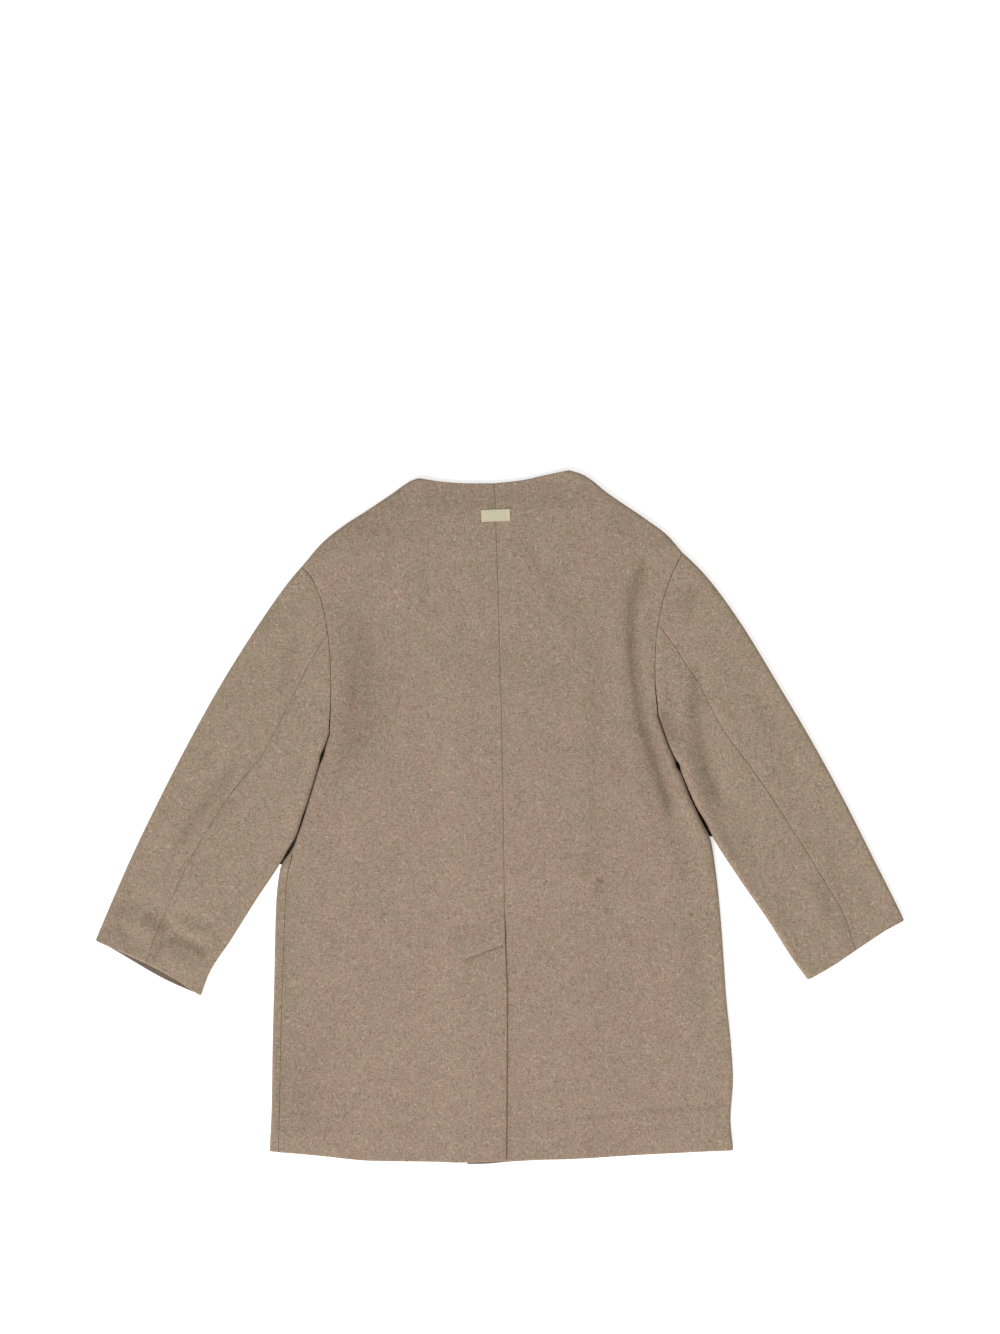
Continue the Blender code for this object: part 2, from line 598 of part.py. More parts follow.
class BodyPanel:
    """A front or a back of one half, as a grid of mid-surface points.

    Args of the maker: the half, its sheet (+1 upper, -1 under), the free or
    centre edge as a function of v, the hem and top as functions of u, and the
    weight of the top's roll as a function of u.
    """

    def __init__(self, half, sheet, centre, hem, top, top_weight):
        self.half = half
        self.sheet = sheet
        self.centre = centre
        self.hem = hem
        self.top = top
        self.top_weight = top_weight

    def plan(self, u, v):
        """Plan position of grid place u, v."""
        return patch(self.centre, self.half.edge, self.hem, self.top, u, v)

    def side_scale(self, v):
        """Share of u that a millimetre square to the side takes, in row v."""
        one = np.ones_like(v)
        step = self.plan(one, v) - self.plan(one * 0.98, v)
        normal = outward(self.half.edge, v, self.half.sign)
        return 0.02 / np.maximum(np.einsum("...k,...k->...", step, normal), 0.5)

    def top_scale(self, u):
        """Share of v that a millimetre square to the top edge takes, in column u."""
        one = np.ones_like(u)
        step = self.plan(u, one) - self.plan(u, one * 0.98)
        normal = outward(self.top, u, -self.half.sign)
        return 0.02 / np.maximum(np.einsum("...k,...k->...", step, normal), 0.5)

    def grid(self, side_lengths, inner_shares, row_levels, start_gap, height):
        """Mid-surface and normals.

        side_lengths(v) gives the lengths round the side's roll, from the last
        column inwards, and inner_shares(v, width) where the other columns lie, as
        shares of the width left. Both give a row for each row of the grid.
        """
        levels = np.asarray(row_levels, float)
        lengths = side_lengths(levels)
        radius = self.half.roll(levels)[:, None]
        weight = self.half.fold_weight(levels)[:, None]
        turn, plan = round_roll(lengths, radius, weight)
        over_fold = lengths < 0
        u_side = 1 - plan * self.side_scale(levels)[:, None]
        width = np.linalg.norm(self.half.edge(levels) - self.centre(levels), axis=-1)
        u_start = (start_gap / width)[:, None]
        share = inner_shares(levels, (u_side[:, -1:] - u_start)[:, 0] * width)
        u_inner = u_start + (u_side[:, -1:] - u_start) * share
        u = np.concatenate([u_inner, u_side[:, ::-1]], axis=1)
        side_turn = np.concatenate([np.full_like(u_inner, math.pi / 2),
                                    np.abs(turn[:, ::-1])], axis=1)
        flipped = np.concatenate([np.zeros_like(u_inner, bool), over_fold[:, ::-1]], axis=1)

        steps = [math.radians(a) for a in ROLL_ANGLES]
        top_plan = [SHOULDER_ROLL * (1 - math.cos(a)) for a in steps]
        top_plan += [SHOULDER_ROLL + step for step in TOP_STEPS]
        top_turn = steps + [math.pi / 2] * len(TOP_STEPS)
        u_rows = np.concatenate([u, np.repeat(u[-1:], len(top_plan), axis=0)])
        side_turn = np.concatenate([side_turn, np.repeat(side_turn[-1:], len(top_plan), axis=0)])
        flipped = np.concatenate([flipped, np.zeros((len(top_plan), u.shape[1]), bool)])
        v = np.repeat(levels[:, None], u.shape[1], axis=1)
        scale = self.top_scale(u[-1])
        v_top = [1 - np.asarray(p) * scale for p in top_plan][::-1]
        v = np.concatenate([v, np.array(v_top)])
        turn_top = np.concatenate([np.full(len(levels), math.pi / 2), np.array(top_turn[::-1])])
        turn_top = np.repeat(turn_top[:, None], u.shape[1], axis=1)

        place = self.plan(u_rows, v)
        side_weight = self.half.fold_weight(v)
        top_weight = self.top_weight(u_rows)
        keep_side = 1 - side_weight * (1 - np.sin(side_turn))
        keep_top = 1 - top_weight * (1 - np.sin(turn_top))
        lean = (outward(self.half.edge, v, self.half.sign)
                * (side_weight * np.cos(side_turn))[..., None]
                + outward(self.top, u_rows, -self.half.sign)
                * (top_weight * np.cos(turn_top))[..., None])
        radius = np.where(turn_top < math.pi / 2, SHOULDER_ROLL, self.half.roll(v))
        equator = HALF + radius
        mid, normal = surface(place[..., 0], place[..., 1], height, self.sheet, equator,
                              keep_side * keep_top, lean)
        if flipped.any():
            other, turned = surface(place[..., 0], place[..., 1], upper_height, -self.sheet,
                                    equator, keep_side * keep_top, lean)
            mid = np.where(flipped[..., None], other, mid)
            normal = np.where(flipped[..., None], turned, normal)
        return mid, normal


def level_of(y):
    """Row in which the centre-back line reaches y."""
    levels = np.linspace(0, 1, 800)
    return float(np.interp(y, centre_back(levels)[:, 1], levels))


def body_rows():
    """Rows of all four body panels, so that their seams share their points: evenly
    spread, with some of their own at the underarms, the vent and the label."""
    last = 1 - TOP_MARGIN / (NECK_Y - HEM_Y)
    slope = VENT_TOP[1] - VENT_UNDERLAP[1]
    wanted = [0.0, last]
    wanted += [half.underarm_v + rise for half in (LEFT, RIGHT) for rise in (0.0, 0.01)]
    wanted += [level_of(VENT_TOP[1] + rise) for rise in (VENT_STEP_DOWN[0], 22.0, 0.0, -slope)]
    wanted += [level_of(LABEL_CENTRE[1] + rise) for rise in (-10.5, 0.5)]
    wanted = np.array(wanted)
    spread = [level for level in np.linspace(0, last, EVEN_ROWS)
              if np.abs(wanted - level).min() > ROW_LEAST]
    return np.unique(np.concatenate([wanted, spread]))


def plain_side(half):
    """Lengths round the roll for a panel whose side seam is at the fold."""
    def lengths(v):
        half_turn = half.roll(v)[:, None] * math.pi / 2
        round_part = half_turn * np.array(ROLL_ANGLES)[None, :] / 90.0
        inside = half_turn + np.array(SIDE_STEPS)[None, :]
        return np.concatenate([round_part, inside], axis=1)
    return lengths


def seam_side(half):
    """Lengths for the left back, which starts at the side seam on top."""
    def lengths(v):
        half_turn = half.roll(v)[:, None] * math.pi / 2
        seam = half.seam(v)[:, None]
        start = np.where(seam > SEAM_ON_TOP, seam + SEAM_GAP / 2, 0.0)
        end = half_turn + SIDE_STEPS[1] + 2.0
        share = np.array(WRAP_SHARES)[None, :]
        first = start + (end - start) * share
        return np.concatenate([first, half_turn + np.array(SIDE_STEPS[2:])[None, :]], axis=1)
    return lengths


def wrapped_side(half):
    """Lengths for the left front, which rolls over the fold to the seam on top.

    Minus lengths are on top, past the fold.
    """
    def lengths(v):
        half_turn = half.roll(v)[:, None] * math.pi / 2
        seam = half.seam(v)[:, None]
        start = np.where(seam > SEAM_ON_TOP, -(seam - SEAM_GAP / 2), 0.0)
        end = half_turn + 4.0
        share = np.linspace(0, 1, 9)[None, :]
        first = start + (end - start) * share
        return np.concatenate([first, half_turn + np.array(SIDE_STEPS[1::2])[None, :]], axis=1)
    return lengths


def even_shares(count):
    """Columns spread evenly over the width left."""
    def shares(v, width):
        return np.repeat(np.linspace(0, 1, count, endpoint=False)[None, :], len(v), axis=0)
    return shares


def stepped_shares(before, after, sign, step_x, edge_x, lengths):
    """Columns with some where a layer steps: at lengths past step_x(v), counted
    from the panel's own edge_x(v) towards X times sign."""
    def shares(v, width):
        start = np.clip((step_x(v) - edge_x(v)) * sign / width, 0.12, 0.78)
        first = start[:, None] * np.linspace(0, 1, before, endpoint=False)[None, :]
        middle = start[:, None] + np.array(lengths)[None, :] / width[:, None]
        last = middle[:, -1:]
        spread = np.linspace(0, 1, after + 1, endpoint=False)[None, 1:]
        return np.concatenate([first, middle, last + (1 - last) * spread], axis=1)
    return shares


def centre_back(v):
    """Centre-back seam, and below it the left back's free vent edge."""
    return along(CENTRE_BACK, np.asarray(v, float))


def underlap_edge(v):
    """Centre-back seam of the right back, and the far edge of its underlap."""
    line = centre_back(v)
    y = line[..., 1]
    share = np.clip((VENT_TOP[1] - y) / (VENT_TOP[1] - VENT_UNDERLAP[1]), 0, 1)
    x = line[..., 0] + (VENT_UNDERLAP[0] - VENT_TOP[0]) * share
    return np.stack([x, y], axis=-1)


def front_edge(edge_x, neck_corner, hem_corner):
    """Free edge of a front from its hem corner to the neck corner."""
    def line(v):
        y = hem_corner[1] + (neck_corner[1] - HALF - hem_corner[1]) * np.asarray(v, float)
        return np.stack([edge_x(y), y], axis=-1)
    return line


def build_backs():
    """Left back with the vent's top lap, right back with its underlap."""
    rows = body_rows()
    left = BodyPanel(LEFT, 1, centre_back, lambda u: along(LEFT_HEM, u),
                     LEFT.back_top, LEFT.back_top_weight)
    lap_step = stepped_shares(2, 3, -1, lambda v: np.full_like(v, VENT_UNDERLAP[0] - 3.0),
                              lambda v: centre_back(v)[..., 0], (0.0, 15.0))
    mid, normal = left.grid(seam_side(LEFT), lap_step, rows, SEAM_GAP / 2, left_back_height)
    wall_mesh("back_left", mid, normal, WALL, WOOL)

    hem = ((VENT_UNDERLAP[0] + 0.5, HEM_Y + 0.8),) + RIGHT_HEM
    right = BodyPanel(RIGHT, 1, underlap_edge, lambda u: along(hem, u),
                      RIGHT.back_top, RIGHT.back_top_weight)
    mid, normal = right.grid(plain_side(RIGHT), even_shares(7), rows, SEAM_GAP / 2, upper_height)
    wall_mesh("back_right", mid, normal, WALL, WOOL)


def build_fronts():
    """Left front, which laps outside, and right front, which laps inside."""
    rows = body_rows()
    left_edge = front_edge(left_front_edge, LEFT_SHOULDER[0], LEFT_FRONT_HEM[0])
    left = BodyPanel(LEFT, -1, left_edge, lambda u: along(LEFT_FRONT_HEM, u),
                     LEFT.front_top, np.ones_like)
    mid, normal = left.grid(wrapped_side(LEFT), even_shares(8), rows, 0.0, left_front_height)
    wall_mesh("front_left", mid, normal, WALL, WOOL)

    right_edge = front_edge(right_front_edge, RIGHT_SHOULDER[0], RIGHT_FRONT_HEM[0])
    right = BodyPanel(RIGHT, -1, right_edge, lambda u: along(RIGHT_FRONT_HEM, u),
                      RIGHT.front_top, np.ones_like)
    step = stepped_shares(4, 2, 1, lambda v: lap_reach(right_edge(v)[..., 1]) + 2.0,
                          lambda v: right_edge(v)[..., 0], (0.0, 7.0, 14.0))
    mid, normal = right.grid(plain_side(RIGHT), step, rows, 0.0, right_front_height)
    wall_mesh("front_right", mid, normal, WALL, WOOL)


def sleeve_plan(sleeve, u, v, sheet):
    """Plan of a sleeve's grid place: u across, v from the armhole to the cuff."""
    return patch(sleeve.outer, sleeve.inner, sleeve.armhole,
                 lambda s: sleeve.cuff(s, sheet), u, v)


def sleeve_scale(sleeve, v, inner):
    """Share of u that a millimetre square to a fold takes, in section v."""
    edge = sleeve.inner if inner else sleeve.outer
    sign = sleeve.half.sign if inner else -sleeve.half.sign
    end = np.ones_like(v) if inner else np.zeros_like(v)
    step = sleeve_plan(sleeve, end, v, 1) - sleeve_plan(sleeve, np.abs(end - 0.02), v, 1)
    square = np.einsum("...k,...k->...", step, outward(edge, v, sign))
    return 0.02 / np.maximum(square, 0.7)


def sleeve_panel(name, sleeve, levels, columns):
    """One sleeve panel.

    columns lists (sheet, turn, share) along the loop of a section, where share(v)
    is the place across and turn the angle round a roll, a right angle inside.
    """
    mids = []
    normals = []
    for sheet, turn, share in columns:
        u = np.clip(share(levels), 0.0, 1.0)
        place = sleeve_plan(sleeve, u, levels, sheet)
        inner = u.mean() > 0.5
        edge = sleeve.inner if inner else sleeve.outer
        sign = sleeve.half.sign if inner else -sleeve.half.sign
        lean = outward(edge, levels, sign) * math.cos(turn)
        height = upper_height if sheet > 0 else sleeve_under_height
        equator = HALF + sleeve.roll(levels, u)
        mid, normal = surface(place[:, 0], place[:, 1], height, sheet, equator,
                              np.full_like(levels, math.sin(turn)), lean)
        mids.append(mid)
        normals.append(normal)
    wall_mesh(name, np.stack(mids, axis=1), np.stack(normals, axis=1), WALL, WOOL)


def roll_columns(sleeve, inner):
    """Columns round one fold of a sleeve, from inside the underside to inside the top."""
    steps = [(math.radians(a), 0.0) for a in ROLL_ANGLES]
    steps += [(math.pi / 2, inside) for inside in SLEEVE_STEPS]

    def column(sheet, turn, beyond, cap):
        def share(v):
            radius = sleeve.roll(v, np.ones_like(v) if inner else np.zeros_like(v))
            plan = radius * (1 - math.cos(turn)) + beyond
            part = np.minimum(plan * sleeve_scale(sleeve, v, inner), cap)
            return 1 - part if inner else part
        return sheet, turn, share

    top = [column(1, *step, cap) for step, cap in zip(steps, ROLL_CAPS)]
    under = [column(-1, *step, cap) for step, cap in zip(steps[1:4], ROLL_CAPS[1:4])]
    return under[::-1] + top


def between(share, low, high):
    """Column at a share of the way between two others, given as functions of v."""
    return 1, math.pi / 2, lambda v: low(v) * (1 - share) + high(v) * share


def build_sleeve(word, sleeve):
    """Upper and under sleeve of one side."""
    levels = np.concatenate([SLEEVE_LEVELS, np.linspace(SLEEVE_START, 1.0, SLEEVE_ROWS)])
    width = np.linalg.norm(sleeve.inner(levels) - sleeve.outer(levels), axis=-1)
    gap = SEAM_GAP / 2 / width.mean()

    outer = roll_columns(sleeve, False)
    last = outer[-1][2]
    flat = [(-1, math.pi / 2, lambda v, s=s: np.full_like(v, s))
            for s in (FRONT_SEAM_SHARE - gap,) + UNDERSIDE_SHARES]

    def beside_seam(sign):
        """Place across of the edge at the back seam, on one side of it."""
        return lambda v: sleeve.back_seam(v) + sign * gap

    upper = flat + outer + [between(share, last, beside_seam(-1)) for share in (0.5, 1.0)]
    sleeve_panel(f"sleeve_{word}_upper", sleeve, levels, upper)

    inner = roll_columns(sleeve, True)
    first = inner[-1][2]
    edge = (-1, math.pi / 2, lambda v: np.full_like(v, FRONT_SEAM_SHARE + gap))
    under = [edge] + inner + [between(share, first, beside_seam(1)) for share in (0.5, 1.0)]
    sleeve_panel(f"sleeve_{word}_under", sleeve, levels, under)


def build_label():
    """Bare woven label, sewn flat across the centre-back seam."""
    across, down = np.meshgrid(np.linspace(-0.5, 0.5, 7) * LABEL_WIDTH,
                               np.linspace(-0.5, 0.5, 4) * LABEL_DEPTH)
    x = LABEL_CENTRE[0] + across * math.cos(LABEL_TURN) - down * math.sin(LABEL_TURN)
    y = LABEL_CENTRE[1] + across * math.sin(LABEL_TURN) + down * math.cos(LABEL_TURN)
    flat = np.zeros(x.shape + (2,))
    mid, normal = surface(x, y, upper_height, 1, np.zeros_like(x), np.ones_like(x), flat)
    mid = mid + normal * (HALF + LAYER_GAP + LABEL_THICKNESS / 2)
    wall_mesh("label", mid, normal, LABEL_THICKNESS, WOVEN)


def build_buttons():
    """Four coat buttons under the left front, their faces level with the surface."""
    sides = BUTTON_SIDES
    inset, down = BUTTON_ROUND
    rings = ((0.0, inset), (down, 0.0), (BUTTON_THICKNESS - down, 0.0), (BUTTON_THICKNESS, inset))
    for name, x, y in button_places():
        points = [(x, y, 0.0)]
        for z, inset in rings:
            radius = BUTTON_RADIUS - inset
            points += [(x + radius * math.cos(2 * math.pi * k / sides),
                        y + radius * math.sin(2 * math.pi * k / sides), z) for k in range(sides)]
        points.append((x, y, BUTTON_THICKNESS))
        faces = []
        for k in range(sides):
            after = (k + 1) % sides
            faces.append((0, 1 + after, 1 + k))
            for ring in range(len(rings) - 1):
                a, b = 1 + ring * sides + k, 1 + ring * sides + after
                faces += [(a, b, b + sides), (a, b + sides, a + sides)]
            last = 1 + (len(rings) - 1) * sides
            faces.append((last + k, last + after, len(points) - 1))
        make_object(name, points, faces, HORN)


def main():
    """Clear the scene and build every piece."""
    for item in list(bpy.data.objects):
        bpy.data.objects.remove(item, do_unlink=True)
    build_backs()
    build_fronts()
    build_sleeve("left", LEFT_SLEEVE)
    build_sleeve("right", RIGHT_SLEEVE)
    build_label()
    build_buttons()


if __name__ == "__main__":
    main()
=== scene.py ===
"""Dresses a collarless double-breasted wool coat, laid flat on its front, back up.

Every cloth piece is a thin shell with rounded rims on the form of its CAD solid. The
creases and pressed seams of the upper layer are worked out once, on a raster of heights.
Sizes are in millimetres in the pattern's own frame, whose X runs across the back and Y up
the back, until a mesh is made in metres.
"""
from __future__ import annotations

import logging
import math
from dataclasses import dataclass
from enum import Enum
from functools import partial
from typing import Callable, Sequence

import bpy
import numpy as np
from bpy.types import Material, Node, NodeSocket, NodeTree, Object
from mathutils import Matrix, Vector, kdtree

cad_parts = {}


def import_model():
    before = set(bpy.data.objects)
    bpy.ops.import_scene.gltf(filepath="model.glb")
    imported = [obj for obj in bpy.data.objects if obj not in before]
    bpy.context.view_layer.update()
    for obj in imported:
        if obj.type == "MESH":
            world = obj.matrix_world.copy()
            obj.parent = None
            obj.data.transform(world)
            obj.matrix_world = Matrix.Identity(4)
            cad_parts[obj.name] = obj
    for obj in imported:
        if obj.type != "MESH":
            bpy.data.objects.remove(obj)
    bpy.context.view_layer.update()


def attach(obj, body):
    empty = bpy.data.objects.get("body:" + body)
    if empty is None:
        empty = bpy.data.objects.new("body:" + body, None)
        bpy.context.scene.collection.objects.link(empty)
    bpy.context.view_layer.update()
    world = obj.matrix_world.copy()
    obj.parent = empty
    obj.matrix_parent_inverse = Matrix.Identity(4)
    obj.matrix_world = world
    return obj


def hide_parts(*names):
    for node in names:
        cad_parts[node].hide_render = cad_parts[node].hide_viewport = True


Array = np.ndarray
Curve = Callable[[Array], Array]
Height = Callable[[Array, Array], Array]
Point = tuple[float, float]
Table = Sequence[Sequence[float]]
AddNode = Callable[..., Node]
LOG = logging.getLogger("coat")

MM = 0.001
WALL = 3.0                # melton cloth
HALF = WALL / 2
SEAM_GAP = 0.1            # between two pieces that meet at a seam, drawn tight
LAYER_GAP = 0.3           # between two layers that lie on each other
CENTRE = (-0.15, 0.2135)  # middle of the coat's footprint in the pattern's frame
RIGHT_ANGLE = math.pi / 2

HEM_Y = -438.5
NECK_Y = 427.9
LAP_LEFT_EDGE = 94.0      # free edge of the left front, which laps outside
LAP_RIGHT_EDGE = -42.0    # free edge of the right front, which laps inside
LAP_BREAK_Y = 160.0       # where the fronts part for the V neck
FRONT_GAP = 0.6           # between the two fronts, which curve over each other
VENT_TOP = (6.9, -161.7)
VENT_UNDERLAP = (-44.0, -182.0)
LABEL_CENTRE = (-5.5, 386.6)
LABEL_TURN = math.radians(2.3)
FACES_UP = -0.2           # least rise of a normal that counts as facing up
SHOULDER_ROLL = 3.0
SEWN = 0.47               # radius of the rounding where an edge is sewn into an armhole
SEWN_FLAT = 0.3           # the same along a seam that is pressed flat
SEAM_BEND_Y = -48.0       # where the side seam bends towards the fold, drawn less tight
ALLOWANCE = 12.0          # how wide the allowances of a pressed seam lie open
SLEEVE_TOP_SHARE = 0.0006    # start of a sleeve panel, clear of the armhole
FRONT_SEAM_SHARE = 0.80   # a sleeve's other seam, on the underside near the inner fold

# Edges are rounded like the turned edge of thick cloth: places across the rounding, as
# shares of its radius, and the share of the wall's thickness that is left at each
RIM_ANGLES = np.radians(np.linspace(0.0, 90.0, 5))
RIM_STEPS = 1 - np.cos(RIM_ANGLES)
RIM_SHARES = np.sin(RIM_ANGLES)

# Side folds of the body, a row for each section: y, x of the outline, radius of the
# roll, and how far the side seam lies round the roll from the fold, on top
LEFT_SIDE = (
    (-427.8, -295.7, 2.9, 12.0), (-368.0, -293.1, 2.9, 11.0), (-298.0, -292.1, 2.9, 11.0),
    (-214.5, -290.0, 2.9, 11.5), (-112.0, -287.4, 3.0, 12.5), (-66.0, -282.0, 3.4, 11.0),
    (-29.8, -262.8, 4.0, 0.0), (6.3, -250.1, 4.3, 0.0), (40.2, -239.4, 4.3, 0.0),
    (74.8, -229.1, 4.0, 0.0), (108.0, -218.2, 3.4, 0.0),
)
RIGHT_SIDE = (
    (-426.4, 299.4, 2.9, 0.0), (-387.3, 295.9, 2.9, 0.0), (-336.1, 299.0, 2.9, 0.0),
    (-291.3, 296.4, 2.9, 0.0), (-233.7, 290.6, 3.0, 0.0), (-156.9, 285.3, 3.0, 0.0),
    (-105.7, 281.0, 3.2, 0.0), (-57.1, 275.2, 3.8, 0.0), (-27.0, 270.0, 4.6, 0.0),
    (21.0, 246.5, 5.4, 0.0), (65.8, 228.0, 5.2, 0.0), (89.1, 217.3, 4.8, 0.0),
    (131.6, 202.2, 3.6, 0.0),
)
# Armhole seams as cubic curves: underarm, two handles, top
LEFT_ARMHOLE = ((-218.2, 108.0), (-215.0, 165.0), (-212.5, 290.0), (-253.3, 320.0))
RIGHT_ARMHOLE = ((202.2, 131.6), (194.0, 195.0), (196.0, 275.0), (233.4, 338.0))
# Neck and shoulders, from the centre back to the armhole: x, y
LEFT_NECK = ((-7.0, 427.9), (-40.0, 427.9), (-74.0, 430.0), (-104.0, 434.9))
LEFT_SHOULDER = ((-104.0, 434.9), (-111.2, 432.5), (-138.9, 414.0), (-169.6, 393.5),
                 (-201.2, 373.0), (-226.7, 352.5), (-254.3, 321.2))
RIGHT_NECK = ((-7.0, 427.9), (28.8, 432.0), (57.6, 438.3), (89.0, 445.1))
RIGHT_SHOULDER = ((89.0, 445.1), (104.5, 440.0), (139.9, 414.0), (185.3, 383.2),
                  (212.9, 362.8), (234.5, 339.1))
# Hem of the back from the centre to each side, and the centre-back line: x, y
LEFT_HEM = ((8.3, -438.5), (-44.8, -440.6), (-83.2, -441.2), (-160.0, -440.4),
            (-236.8, -433.3), (-295.7, -427.8))
RIGHT_HEM = ((8.3, -438.5), (93.4, -436.7), (204.8, -431.4), (299.4, -426.4))
CENTRE_BACK = ((8.3, -438.5), (9.3, -229.2), (6.9, -161.7), (3.2, 73.5),
               (-1.9, 271.9), (-7.0, 427.9))
# Hem of the fronts from the free edge to the side: x, y
LEFT_FRONT_HEM = ((94.0, -437.5), (40.0, -438.5), (-60.0, -439.5), (-160.0, -439.0),
                  (-236.8, -432.3), (-295.7, -427.8))
RIGHT_FRONT_HEM = ((-42.0, -444.6), (-20.6, -444.3), (12.8, -441.4), (51.2, -439.4),
                   (89.0, -438.4), (204.8, -431.0), (299.4, -426.4))
# Sleeve folds from the armhole to the cuff: x, y of the outline, radius of the roll
LEFT_OUTER = (
    (-254.3, 321.2, 3.0), (-271.0, 301.3, 3.1), (-305.5, 252.7, 3.4), (-354.3, 175.9, 3.6),
    (-397.4, 99.1, 3.6), (-436.9, 22.3, 3.5), (-473.9, -54.5, 3.4), (-496.4, -105.7, 3.4),
    (-518.4, -157.6, 3.4))
LEFT_INNER = (
    (-218.2, 108.0, 3.4), (-229.1, 74.8, 4.0), (-239.4, 40.2, 4.3), (-250.1, 6.3, 4.3),
    (-262.8, -29.8, 4.2), (-282.6, -62.0, 4.0), (-311.7, -105.7, 3.7), (-343.9, -156.9, 3.5),
    (-373.8, -203.8, 3.4), (-382.6, -228.6, 3.4))
RIGHT_OUTER = (
    (234.5, 339.1, 3.0), (262.1, 311.6, 3.2), (306.0, 252.7, 3.4), (353.2, 175.9, 3.6),
    (398.7, 99.1, 3.6), (440.7, 22.3, 3.6), (479.5, -54.5, 3.4), (505.3, -105.7, 3.3),
    (518.1, -132.0, 3.3))
RIGHT_INNER = (
    (202.2, 131.6, 3.6), (217.3, 89.1, 4.8), (228.0, 65.8, 5.2), (246.5, 21.0, 5.2),
    (271.6, -25.6, 4.6), (306.8, -80.1, 3.9), (342.3, -131.3, 3.5), (374.9, -182.5, 3.4),
    (393.9, -208.6, 3.4))
# Where the sleeve's back seam crosses each section: length down the sleeve, share of
# the top's width from the outer fold
LEFT_BACK_SEAM = ((0.0, 0.45), (0.15, 0.465), (0.33, 0.475), (0.53, 0.415), (0.7, 0.403),
                  (0.85, 0.43), (1.0, 0.47))
RIGHT_BACK_SEAM = ((0.0, 0.44), (0.18, 0.45), (0.32, 0.466), (0.5, 0.432), (0.75, 0.425),
                   (0.88, 0.42), (1.0, 0.50))


def pchip(knots: Sequence[float], values: Sequence[float], where: Array) -> Array:
    """Shape-keeping cubic curve through values.

    Args:
        knots: rising places of the values.
        values: values to pass through.
        where: places to read.

    Returns:
        The curve at each place, held at its ends.
    """
    x, y = np.asarray(knots, float), np.asarray(values, float)
    q = np.clip(np.asarray(where, float), x[0], x[-1])
    step = np.diff(x)
    slope = np.diff(y) / step
    tangent = np.zeros_like(y)
    tangent[0], tangent[-1] = slope[0], slope[-1]
    for i in range(1, len(x) - 1):
        if slope[i - 1] * slope[i] > 0:
            a, b = 2 * step[i] + step[i - 1], step[i] + 2 * step[i - 1]
            tangent[i] = (a + b) / (a / slope[i - 1] + b / slope[i])
    k = np.clip(np.searchsorted(x, q, side="right") - 1, 0, len(step) - 1)
    t = (q - x[k]) / step[k]
    return (y[k] * (1 + 2 * t) * (1 - t) ** 2 + tangent[k] * step[k] * t * (1 - t) ** 2
            + y[k + 1] * t * t * (3 - 2 * t) - tangent[k + 1] * step[k] * t * t * (1 - t))


def column(rows: Table, index: int, where: Array) -> Array:
    """One column of a table, read by its first column."""
    table = np.asarray(rows)
    return pchip(table[:, 0], table[:, index], where)


def smooth(value: Array) -> Array:
    """Eased step from 0 to 1 as value goes from 0 to 1."""
    t = np.clip(value, 0.0, 1.0)
    return t * t * (3 - 2 * t)


def bell(reach: Array) -> Array:
    """1 at a reach of 0, falling softly to both sides."""
    return np.exp(-reach ** 2)


def along(rows: Table, share: Array) -> Array:
    """Columns of a table of points, read at a share of the curve's length."""
    table = np.asarray(rows, float)
    lengths = np.hypot(np.diff(table[:, 0]), np.diff(table[:, 1]))
    knots = np.concatenate(([0.0], np.cumsum(lengths))) / lengths.sum()
    return np.stack([pchip(knots, values, share) for values in table.T], axis=-1)


def cubic(points: Sequence[Point], t: Array) -> Array:
    """Cubic Bezier curve of four points."""
    p = np.asarray(points, float)
    t = np.asarray(t, float)[..., None]
    return ((1 - t) ** 3 * p[0] + 3 * t * (1 - t) ** 2 * p[1]
            + 3 * t * t * (1 - t) * p[2] + t ** 3 * p[3])


def unit(vectors: Array) -> Array:
    """Vectors scaled to length one."""
    return vectors / np.maximum(np.linalg.norm(vectors, axis=-1, keepdims=True), 1e-9)


def dot(a: Array, b: Array) -> Array:
    """Scalar product of vectors kept along the last axis."""
    return np.einsum("...k,...k->...", a, b)


def outward(curve: Curve, value: Array, side: int) -> Array:
    """Unit normal in plan of a curve, on the side that side (+1 or -1) picks."""
    low, high = (np.clip(value + step, 0.0, 1.0) for step in (-0.004, 0.004))
    tangent = unit(curve(high) - curve(low))
    return side * np.stack([tangent[..., 1], -tangent[..., 0]], axis=-1)


def metres(points: Array) -> Array:
    """Points of the pattern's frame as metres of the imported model's frame."""
    return (np.asarray(points, float) - [CENTRE[0], CENTRE[1], 0.0]) * MM


